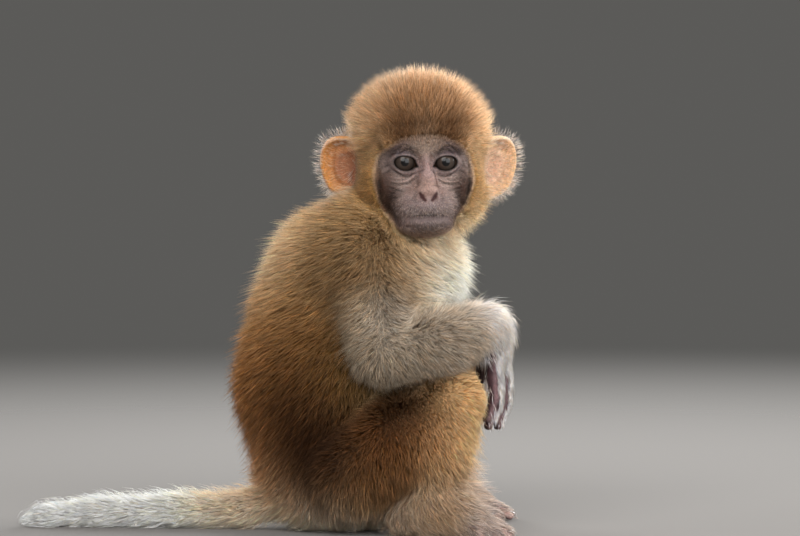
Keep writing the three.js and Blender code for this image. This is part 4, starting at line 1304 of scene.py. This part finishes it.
class Fur:
    """What the coat is like at points of the skin: hair length, width, coat depth and density, in mm."""

    def __init__(self, points, normals):
        p = points.astype(F)
        self.shares = shares_of(part_distances(p))
        length, width, depth, density = (self.shares @ np.array(list(FUR.values()), F)).T
        names = list(FUR)
        head, hand_share, foot_share, ear = (
            self.shares[:, names.index(part)] for part in ("head", "hand", "foot", "ear")
        )
        q = into_head(p)
        beyond = beyond_face(q)
        broad = 9 - 5 * np.clip((-20 - q[:, 2]) / 8, 0, 1)
        near = np.clip(beyond / broad, 0, 1) * (head > 0.3) + (head <= 0.3)
        length = length * (0.34 + 0.66 * near**0.8)
        width = width * (0.7 + 0.3 * near)
        depth = depth * (0.16 + 0.84 * near)
        density = density * (1.7 - 0.7 * near)
        self.fuzz = (beyond < 0) & (head > 0.3)
        eyes = np.minimum(lid_opening(q, 1), lid_opening(q, -1))
        nose = np.hypot(q[:, 1], q[:, 2] + 12)
        bare = (eyes < 2.2) | (nose < 5) | ((q[:, 2] < -24.2) & (q[:, 2] > -27) & (np.abs(q[:, 1]) < 12))
        muzzle = np.exp(-(((q[:, 2] + 20) / 6) ** 2))
        lip = np.exp(-(((q[:, 2] + 21.0) / 2.6) ** 2)) * (np.abs(q[:, 1]) < 12)
        self.brow = np.clip((q[:, 2] - 9) / 5, 0, 1)
        self.chin = chin = np.clip((-29 - q[:, 2]) / 5, 0, 1)
        downy = 1.2 + 1.0 * muzzle + 0.5 * lip + 2.5 * self.brow + 2 * chin
        density = np.where(self.fuzz, np.where(bare, 0, downy), density)
        inner = np.clip((17 - np.abs(q[:, 1])) / 4, 0, 1)
        self.frost = 0.03 + inner * (0.08 + 0.18 * muzzle + 0.06 * lip) * (1 - self.brow)
        length = np.where(self.fuzz, 1.5 + 0.05 * np.abs(q[:, 2] + 10) + 0.2 * lip + 2 * chin, length)
        width = np.where(self.fuzz, 0.15 + 0.02 * lip + 0.08 * chin, width)
        depth = np.where(self.fuzz, 1.2, depth)
        # hands and feet: long hair on their backs, short on the fingers and toes, none on palms and soles
        low = np.clip((JOINTS["right"]["knuckles"][2] + 8 - p[:, 2]) / 12, 0, 1)
        fingers = np.clip((JOINTS["right"]["knuckles"][2] + 2 - p[:, 2]) / FINGER_DROP, 0, 1) * hand_share
        on_back = np.clip((normals[:, 0] + 0.05 - 0.7 * low - 0.15 * fingers) / 0.3, 0, 1)
        density = density * (1 - hand_share * (1 - on_back))
        length = length * (1 - 0.5 * fingers)
        density = density * (1 - 0.5 * fingers)
        density = density * (1 - foot_share * np.clip(-normals[:, 2] * 4 - 1, 0, 1))
        heel = np.clip((88 - p[:, 0]) / 22, 0, 1) * foot_share
        length = length * (1 + 0.7 * heel)
        depth = depth * (1 + 1.6 * heel)
        toes = np.clip((p[:, 0] - 92) / 14, 0, 1) * foot_share
        length = length * (1 - 0.45 * toes)
        density = density * (1 - 0.7 * toes)
        shin = self.shares[:, names.index("shin")]
        leg = shin + foot_share + self.shares[:, names.index("thigh")]
        self.whisker = (normals[:, 0] > 0.1) & (leg > 0.5) & (p[:, 0] > 64) & (p[:, 2] > 16) & (p[:, 2] < 66)
        knees = [np.linalg.norm(p - np.array(JOINTS[side]["knee"], F), axis=1) for side in SIDES]
        at_knee = np.exp(-((np.minimum(*knees) / 24) ** 2)) * leg
        length = length * (1 - 0.35 * at_knee)
        self.loose = 0.8 * hand_share + 1.5 * foot_share
        self.fringe = 5.5 - 3 * hand_share - 3.5 * self.shares[:, names.index("tail")]
        self.standing = 0.1 + 0.13 * (head > 0.5) * near
        arm = self.shares[:, names.index("upper_arm")] + self.shares[:, names.index("forearm")]
        length = length * (1 - 0.4 * arm * np.clip(-normals[:, 2], 0, 1))
        # ears: long hair on the rim, short on the back and only a little inside
        self.ear = ear
        inside = np.zeros(len(p), bool)
        self.rim = np.zeros(len(p))
        self.ear_way = np.zeros((len(p), 3))
        for side in SIDES:
            local, reach = into_ear(p, side)
            close = np.linalg.norm(local, axis=1) < 30
            inside |= close & (local[:, 2] > -5 * (1 - np.minimum(reach, 1) ** 2)) & (reach < 0.84)
            self.rim = np.maximum(self.rim, close * np.clip((reach - 0.8) / 0.15, 0, 1))
            outward = local * (1, 1, 0) / np.maximum(np.hypot(local[:, 0], local[:, 1]), 1e-3)[:, None]
            way = outward + (0.25, 0.1, -0.35)
            world = way @ np.array(ear_axes(side)[1:]) @ HEAD_AXES.T
            self.ear_way = np.where(close[:, None], world, self.ear_way)
        self.inside = inside & (ear > 0.5)
        sparse = np.where(p[:, 0] > HEAD[0], 1.3, 0.5)
        density = np.where(self.inside, sparse, density * (1 - 0.35 * self.rim))
        length = length * (1 + 0.6 * self.rim * ear)
        width = width * (1 - 0.45 * self.rim * ear - 0.3 * self.inside)
        density = density * np.clip(p[:, 2] / 4, 0.15, 1)
        self.length, self.width, self.depth, self.density = length, width, depth, density


def unit(way):
    """Directions at length 1."""
    return way / np.maximum(np.linalg.norm(way, axis=1, keepdims=True), 1e-6)


def locks(p):
    """A sideways lean that neighbouring hairs share, so that they gather into locks: waves through space,
    about 5, 8 and 15 mm long."""
    lean = np.zeros(p.shape)
    for length, most in ((5, 0.06), (8, 0.04), (15, 0.035)):
        for axis in range(3):
            wave = unit(draw.normal(0, 1, (1, 3)))[0] * 2 * np.pi / length
            bend = unit(draw.normal(0, 1, (1, 3)))[0] * 2 * np.pi / (1.7 * length)
            lean[:, axis] += most * np.sin(p @ wave + 2 * np.sin(p @ bend))
    return lean


def grown(roots, normals, fur, spaces):
    """The hairs' lines from root to tip. Each step goes along the comb's stroke, laid along the skin, and
    rises so that the tip reaches the coat's outside; it keeps clear of the skin and of the floor."""
    away, skin_gap, coat_gap, comb = spaces
    count = len(roots)
    length = fur.length * draw.uniform(0.78, 1.12, count)
    chance = draw.random(count)
    stray = (chance < fur.standing) & (fur.depth > 5)
    whisker = (chance > 0.88) & fur.whisker
    fur.width = np.where(whisker, 0.45, np.where(stray, 0.8, 1)) * fur.width
    length = length * np.where(stray, 1.35, 1) * np.where(whisker, 1.45, 1)
    stray |= whisker
    rise = np.clip(fur.depth / fur.length, 0, 0.9) * draw.uniform(0.85, 1.12, count)
    rise = np.where(stray, np.minimum(rise + 0.22, 0.95), rise) + 0.15 * whisker
    rise = rise + (0.92 - rise) * fur.rim * fur.ear
    sideways = draw.normal(0, 0.16, (count, 3))
    loose = 0.5 + 2.2 * draw.random(count) ** 3 + fur.loose + 14 * whisker
    loose = loose + fur.fringe * np.where(stray, 1, 0.35) * draw.random(count)
    sideways = sideways + locks(roots) * (1 - fur.ear[:, None])
    line = [roots - normals * 0.7]
    place = roots.copy()
    ear = fur.ear[:, None]
    for step in range(STEPS):
        share = (step + 0.5) / STEPS
        out = unit(away(place)) if step else normals
        lie = unit(comb(place)) * (1 - ear) + fur.ear_way * ear + sideways * (1 + 1.5 * fur.parting[:, None])
        lie = unit(lie - out * (lie * out).sum(1, keepdims=True))
        lift = np.clip(rise * (1.3 - 0.6 * share) + 0.25 * fur.parting, 0, 0.97)[:, None]
        place = place + (lie * np.sqrt(1 - lift**2) + out * lift) * (length / STEPS)[:, None]
        place = place + out * np.clip(0.5 - skin_gap(place), 0, 1.5)[:, None]
        over = coat_gap(place) - loose
        place = place - out * (0.75 * np.clip(over, 0, 4) * (fur.ear < 0.4) * ~fur.fuzz)[:, None]
        place[:, 2] = np.maximum(place[:, 2], 0.35)
        line.append(place)
    return np.stack([line[0], line[STEPS // 2], line[STEPS]], 1)


def hair_colours(colours):
    """Each hair's colour at its root, round its middle and at its tip: darker where hairs shade each other,
    and paler at the tip, the more so where the coat is light."""
    bright = colours.mean(1, keepdims=True)
    frost = np.clip(0.95 * bright, 0.01, 0.44)
    tip = colours * 1.35 * (1 - frost) + linear("#f6e8d2") * frost
    root = colours * (0.8 + 0.2 * bright)
    return np.clip(np.stack([root, *[colours * 1.15] * SIDES_OF_HAIR, tip], 1), 0, 1)


def tuft_mesh(name, line, normals, width, colours, patches):
    """Solid tufts: a closed three-sided spindle on each line, with a point at its root in the skin, a ring
    half way and a point at its tip. Every tuft's corners are a patch of the OFBake map 0.003 across at its
    root's place."""
    count = len(line)
    way = unit(line[:, 2] - line[:, 0])
    across = unit(np.cross(way, normals))
    over = np.cross(across, way)
    ring = []
    for turn in np.radians(90 + 120 * np.arange(SIDES_OF_HAIR)):
        way_out = across * math.cos(turn) + over * (0.7 * math.sin(turn))
        ring.append(line[:, 1] + way_out * (width / 2)[:, None])
    points = np.stack([line[:, 0], *ring, line[:, 2]], 1).reshape(-1, 3)
    tip = SIDES_OF_HAIR + 1
    faces = []
    for k in range(SIDES_OF_HAIR):
        follow = (k + 1) % SIDES_OF_HAIR
        faces += [(0, 1 + follow, 1 + k), (1 + k, 1 + follow, tip)]
    faces = np.array(faces)
    per = tip + 1
    faces = (faces[None] + per * np.arange(count)[:, None, None]).reshape(-1, 3)
    made = new_object(name, points, faces)
    set_colour(made, "colour_and_painted_light", hair_colours(colours).reshape(-1, 3))
    spread = np.array([(0, 0), (0, 0.0015), (0.0015, 0.0015), (0.003, 0.0015), (0.0015, 0.003)])
    at_vertex = (patches[:, None] + spread[None]).reshape(-1, 2)
    layer = made.data.uv_layers.new(name="OFBake")
    layer.data.foreach_set("uv", at_vertex[faces.ravel()].astype(F).ravel())
    return made


def round_spine(p, spine):
    """A tube's unwrap: the angle round a line of joints and the way along it, both from 0 to 1."""
    spine = np.array(spine, float)
    steps = np.linalg.norm(np.diff(spine, axis=0), axis=1)
    starts = np.concatenate([[0], np.cumsum(steps)])
    best, angle, along = np.full(len(p), 1e9), np.zeros(len(p)), np.zeros(len(p))
    reference = np.array([0.12, 1, 0.07])
    for n, (a, b) in enumerate(zip(spine, spine[1:])):
        axis = (b - a) / steps[n]
        share = (p - a) @ axis
        low = -1e3 if n == 0 else 0
        high = 1e3 if n == len(steps) - 1 else steps[n]
        radial = p - a - np.clip(share, low, high)[:, None] * axis
        gap = np.linalg.norm(radial, axis=1)
        across = np.cross(axis, reference)
        across /= np.linalg.norm(across)
        turn = np.arctan2(radial @ np.cross(axis, across), radial @ across) / (2 * np.pi) + 0.5
        nearer = gap < best
        best = np.where(nearer, gap, best)
        angle = np.where(nearer, turn, angle)
        along = np.where(nearer, starts[n] + np.clip(share, low, high), along)
    spread = (along - along.min()) / max(np.ptp(along), 1e-6)
    return np.stack([angle, spread], 1) * 0.99


def unwrapped(group, p):
    """Each root's place on the unwrap of its group's skin."""
    if group == "head":
        q = into_head(p)
        around = np.arctan2(q[:, 1], q[:, 2]) / (2 * np.pi) + 0.5
        back = np.arccos(np.clip(q[:, 0] / np.maximum(np.linalg.norm(q, axis=1), 1e-6), -1, 1)) / np.pi
        return np.stack([around, back], 1) * 0.99
    if group == "ears":
        places = np.zeros((len(p), 2))
        for n, side in enumerate(SIDES):
            local, reach = into_ear(p, side)
            close = np.linalg.norm(local, axis=1) < 40
            front = local[:, 2] > -5 * (1 - np.minimum(reach, 1) ** 2)
            quarter = np.stack([0.5 * front, np.full(len(p), 0.5 * n)], 1)
            flat = local[:, :2] / 50 * 0.48 + (0.25, 0.25) + quarter
            places = np.where(close[:, None], flat, places)
        return places
    if group == "tail":
        return round_spine(p, TAIL)
    if group == "trunk":
        return round_spine(p, [(0, 0, 0), BELLY, THORAX, (32, 2, 190)])
    side, limb = group.split("_")
    j = JOINTS[side]
    if limb == "arm":
        tips = np.array(j["knuckles"]) - (3, 0, FINGER_DROP)
        return round_spine(p, [j["shoulder"], j["elbow"], j["midarm"], j["wrist"], j["knuckles"], tips])
    heel, forward, _ = foot_axes(side)
    toes = heel + forward * FOOT_LENGTH
    return round_spine(p, [j["hip"], j["knee"], j["calf"], j["ankle"], toes])


GROUP_OF = {
    "trunk": "trunk", "neck": "trunk", "head": "head", "ear": "ears", "tail": "tail",
    "upper_arm": "arm", "forearm": "arm", "hand": "arm", "thigh": "leg", "shin": "leg", "foot": "leg",
}
MOST_TUFTS = 32000  # in one coat piece, so that it stays under 200,000 triangles


def coat_pieces(skin):
    """The whole coat, as pieces by part of the body. A coat colour is raised to the power 1.12, since light
    that passes between hairs deepens it, and each hair's own light is exp(normal draw x (0.4 - 0.3 x its
    brightness)), so that dark hairs differ most."""
    strokes = comb_strokes()
    skin_gap = sampled(whole_skin, 2.5)
    coat_gap = sampled(outside_coat, 4)
    comb = sampled(lambda p: faded(p, *strokes), 5)
    spaces = slopes(skin_gap), skin_gap, coat_gap, comb
    spread = spreading(comb)
    roots, normals = scattered(skin, lambda p, facing: Fur(p, facing).density * (1 + 9 * spread(p)))
    open_air = skin_gap(roots + normals * 3) > 1.2
    roots, normals = roots[open_air], normals[open_air]
    fur = Fur(roots, normals)
    fur.parting = np.clip(spread(roots) * 12, 0, 1)
    line = grown(roots, normals, fur, spaces)
    down, coat = skin_colour(roots, normals) * 1.1, coat_colour(roots) ** 1.12
    colours = np.where(fur.fuzz[:, None], down, coat)
    colours = tinted(colours, "#f0e0d6", fur.ear * (0.85 - 0.35 * fur.inside) + fur.fuzz * fur.frost)
    colours = tinted(colours, "#8a6a52", fur.fuzz * (0.55 * fur.brow + 0.6 * fur.chin))
    bright = np.clip(1.2 * colours.mean(1, keepdims=True), 0, 1)
    light = np.exp(draw.normal(0, 1, (len(roots), 1)) * (0.4 - 0.3 * bright))
    warm = draw.normal(0, 0.07, (len(roots), 1)) * (1, 0.1, -1)
    colours = np.clip(colours * light * (1 + warm), 0, 1)
    names = list(FUR)
    part = fur.shares.argmax(1)
    group = np.array([GROUP_OF[names[n]] for n in range(len(names))])[part]
    side = np.where(roots[:, 1] < 0, "right_", "left_")
    limb = (group == "arm") | (group == "leg")
    group = np.where(limb, np.char.add(side, group), group)
    made = []
    for name in sorted(set(group)):
        chosen = np.nonzero(group == name)[0]
        place = unwrapped(name, roots[chosen])
        slices = -(-len(chosen) // MOST_TUFTS)
        order = np.argsort(place[:, 1], kind="stable")
        for n, part_of in enumerate(np.array_split(order, slices)):
            index = chosen[part_of]
            title = f"coat_{name}" if slices == 1 else f"coat_{name}_{n + 1}"
            tufts = line[index], normals[index], fur.width[index], colours[index]
            piece = tuft_mesh(title, *tufts, place[part_of])
            made.append(piece)
    return made


def coat_material():
    """Fur: soft hair with a faint sheen, and some light passing through it."""
    made, tree = new_material("coat")
    # the colour attribute holds the hairs' own colours with painted shade and painted light in them
    colour = add(tree, "ShaderNodeAttribute", {"attribute_name": "colour_and_painted_light"}).outputs["Color"]
    where = add(tree, "ShaderNodeTexCoord").outputs["Object"]
    clumps = add(tree, "ShaderNodeTexNoise", {}, Vector=where, Scale=per_metre(7), Detail=2.0).outputs[0]
    vary = add(tree, "ShaderNodeMapRange", {}, Value=clumps, _1=0.3, _2=0.7, _3=0.86, _4=1.12).outputs[0]
    wave = add(tree, "ShaderNodeCombineColor", {}, Red=vary, Green=vary, Blue=vary).outputs[0]
    final = add(tree, "ShaderNodeMix", MULTIPLIED, _0=1.0, _6=colour, _7=wave).outputs[2]
    hair = add(tree, "ShaderNodeBsdfPrincipled", {}, Base_Color=final, Roughness=0.55)
    hair.inputs["Specular IOR Level"].default_value = 0.08
    through = add(tree, "ShaderNodeBsdfTranslucent", {}, Color=final)
    shader = add(tree, "ShaderNodeMixShader", {}, _0=0.32, _1=hair.outputs[0], _2=through.outputs[0])
    finish(tree, shader.outputs[0])
    return made


# ---- Eyes and nails ----
IRIS_RADIUS = 5.5
PUPIL_RADIUS = 2.3


def eyeball(side, rings=64, spokes=96):
    """An eyeball as rings round its line of sight: a sphere whose front bulges as the cornea."""
    radius = EYE_RADIUS - 0.1
    turn = np.linspace(0, np.pi, rings + 1)[1:-1, None]
    turn = turn - 0.175 * np.sin(2 * turn)  # rings closer together round the iris
    around = np.linspace(0, 2 * np.pi, spokes, endpoint=False)[None]
    off = radius * np.sin(turn)
    bulge = 0.85 * np.clip(1 - (off / 6.2) ** 2, 0, 1) ** 1.3 * (turn < 1.4)
    ahead = radius * np.cos(turn) + bulge
    look = unit(((HEAD_AXES @ np.array([1, 0, 0])) * 0.5 + np.array([0.02, -0.6, 0.02]))[None])[0]
    across = unit(np.cross([0, 0, 1.0], look)[None])[0]
    up = np.cross(look, across)
    centre = EYES[side]
    rows = (
        ahead[..., None] * look
        + (off * np.cos(around))[..., None] * across
        + (off * np.sin(around))[..., None] * up
    )
    points = np.concatenate([[look * (radius + 0.85)], rows.reshape(-1, 3), [-look * radius]]) + centre
    made = new_object(f"{side}_eyeball", points, ringed(rings - 1, spokes))
    set_colour(made, "iris", iris_colour(points - centre, look, across, up))
    return made


def iris_colour(p, look, across, up):
    """Rings round the line of sight, with fibres that run outwards from the pupil."""
    side, high, ahead = p @ across, p @ up, p @ look
    off = np.hypot(side, high)
    angle = np.arctan2(high, side)
    fibres = 0.5 + 0.25 * np.sin(37 * angle + 3 * np.sin(5 * angle)) + 0.25 * np.sin(61 * angle + off * 2)
    share = np.clip((off - PUPIL_RADIUS) / (IRIS_RADIUS - PUPIL_RADIUS), 0, 1)[:, None]
    iris = linear("#392e27") * (1 - share) + linear("#241d18") * share
    iris = iris * (0.75 + 0.5 * fibres[:, None])
    ring = np.clip((off - IRIS_RADIUS + 0.9) / 0.9, 0, 1)[:, None]
    iris = iris * (1 - 0.85 * ring)
    white = linear("#3a2a20") * np.clip(1.6 - 0.1 * off, 0.6, 1)[:, None]
    outside = np.clip((off - IRIS_RADIUS) / 0.35, 0, 1)[:, None]
    outside = np.where(ahead[:, None] < 0, 1, outside)
    colour = iris * (1 - outside) + white * outside
    pupil = np.clip((PUPIL_RADIUS - off) / 0.25 + 0.5, 0, 1)[:, None] * (ahead[:, None] > 0)
    return colour * (1 - pupil) + linear("#050404") * pupil


def nail(tip, back, over, length, width):
    """One nail: a flattened ball on the back of a fingertip, as points round its middle and triangles.
    `back` points from the tip to the knuckle, and `over` out of the finger's back."""
    rows, spokes = 6, 10
    turn = np.linspace(0, np.pi, rows + 1)[1:-1, None]
    around = np.linspace(0, 2 * np.pi, spokes, endpoint=False)[None]
    side = np.cross(back, over)
    along = np.cos(turn) + 0 * around
    wide = np.sin(turn) * np.cos(around)
    high = np.sin(turn) * np.sin(around)
    rings = (
        along[..., None] * back * length / 2
        + wide[..., None] * side * width / 2
        + (high * 0.5 - 0.35 * wide**2)[..., None] * over
    )
    ends = np.array([back * length / 2, -back * length / 2])
    points = np.concatenate([ends[:1], rings.reshape(-1, 3), ends[1:]]) + tip
    return points, ringed(rows - 1, spokes)


def nails():
    """The nails of all fingers and toes, as one piece."""
    found = []
    for side in SIDES:
        for n in range(len(FINGER_REACH)):
            tip = finger(side, n)[-1]
            back = np.array([0.26, 0, 0.965])
            over = np.array([0.965, 0, -0.26])
            found.append(nail(tip + over * 2.1 + back * 0.2, back, over, 4.4, 3.4))
        heel, forward, sideways = foot_axes(side)
        for n, setback in enumerate(TOE_SETBACK):
            across = (8.5 - 5.4 * n) * TOE_SPREAD
            tip = heel + forward * (FOOT_LENGTH - setback) + sideways * across + (0, 0, 2.8)
            over = unit((forward * 0.35 + np.array([0, 0, 1.0]))[None])[0]
            back = unit((np.array([0, 0, 0.35]) - forward)[None])[0]
            found.append(nail(tip + over * 2.0 + forward * 0.8, back, over, 4.4, 3.6))
    points, faces, start = [], [], 0
    for place, triangles in found:
        points.append(place)
        faces.append(triangles + start)
        start += len(place)
    return new_object("nails", np.concatenate(points), np.concatenate(faces))


def nail_material():
    """Horn: dark brown-grey, smooth, with lengthwise streaks."""
    made, tree = new_material("nail")
    where = add(tree, "ShaderNodeTexCoord").outputs["Object"]
    streaks = add(tree, "ShaderNodeTexNoise", {}, Vector=where, Scale=per_metre(1.2), Detail=2.0).outputs[0]
    dark, light = rgba("#4c3c38"), rgba("#8a7468")
    tone = add(tree, "ShaderNodeMix", {"data_type": "RGBA"}, _0=streaks, _6=dark, _7=light)
    shader = add(tree, "ShaderNodeBsdfPrincipled", {}, Base_Color=tone.outputs[2], Roughness=0.32)
    finish(tree, shader.outputs[0])
    return made


def floor_material():
    """Matt pale studio floor that fades far from the animal into the grey surround."""
    made, tree = new_material("studio_floor")
    where = add(tree, "ShaderNodeTexCoord").outputs["Object"]
    far = add(tree, "ShaderNodeVectorMath", {"operation": "LENGTH"}, _0=where).outputs["Value"]
    fade = add(tree, "ShaderNodeMapRange", {"interpolation_type": "SMOOTHSTEP"}, Value=far, _1=0.3, _2=1.5)
    paint = add(tree, "ShaderNodeBsdfPrincipled", {}, Base_Color=rgba("#7d7a77"), Roughness=0.9)
    paint.inputs["Specular IOR Level"].default_value = 0.0
    clear = add(tree, "ShaderNodeBsdfTransparent")
    shader = add(tree, "ShaderNodeMixShader", {}, _0=fade.outputs[0], _1=paint.outputs[0])
    tree.links.new(clear.outputs[0], shader.inputs[2])
    finish(tree, shader.outputs[0])
    return made


# ---- The scene ----
add_camera()
add_studio()

floor_corners = np.array([(-1, -1, 0), (1, -1, 0), (1, 1, 0), (-1, 1, 0)]) * FLOOR_REACH
floor = new_object("floor", floor_corners, np.array([[0, 1, 2, 3]]))
floor.data.materials.append(floor_material())

skin = joined_skin()
skin_points = points_of(skin)
skin_normals = np.empty(len(skin_points) * 3, F)
skin.data.vertices.foreach_get("normal", skin_normals)
set_colour(skin, "colour_and_painted_light", skin_colour(skin_points, skin_normals.reshape(-1, 3)))
skin.data.materials.clear()
skin.data.materials.append(skin_material())
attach(skin, "root")
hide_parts(*(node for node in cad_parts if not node.endswith("_eye")))

iris = eye_material()
for side in SIDES:
    eye = eyeball(side)
    eye.data.materials.append(iris)
    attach(eye, "root")
    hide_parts(f"{side}_eye")

claws = nails()
claws.data.materials.append(nail_material())
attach(claws, "root")

fur_finish = coat_material()
for piece in coat_pieces(skin):
    piece.data.materials.append(fur_finish)
    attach(piece, "root")
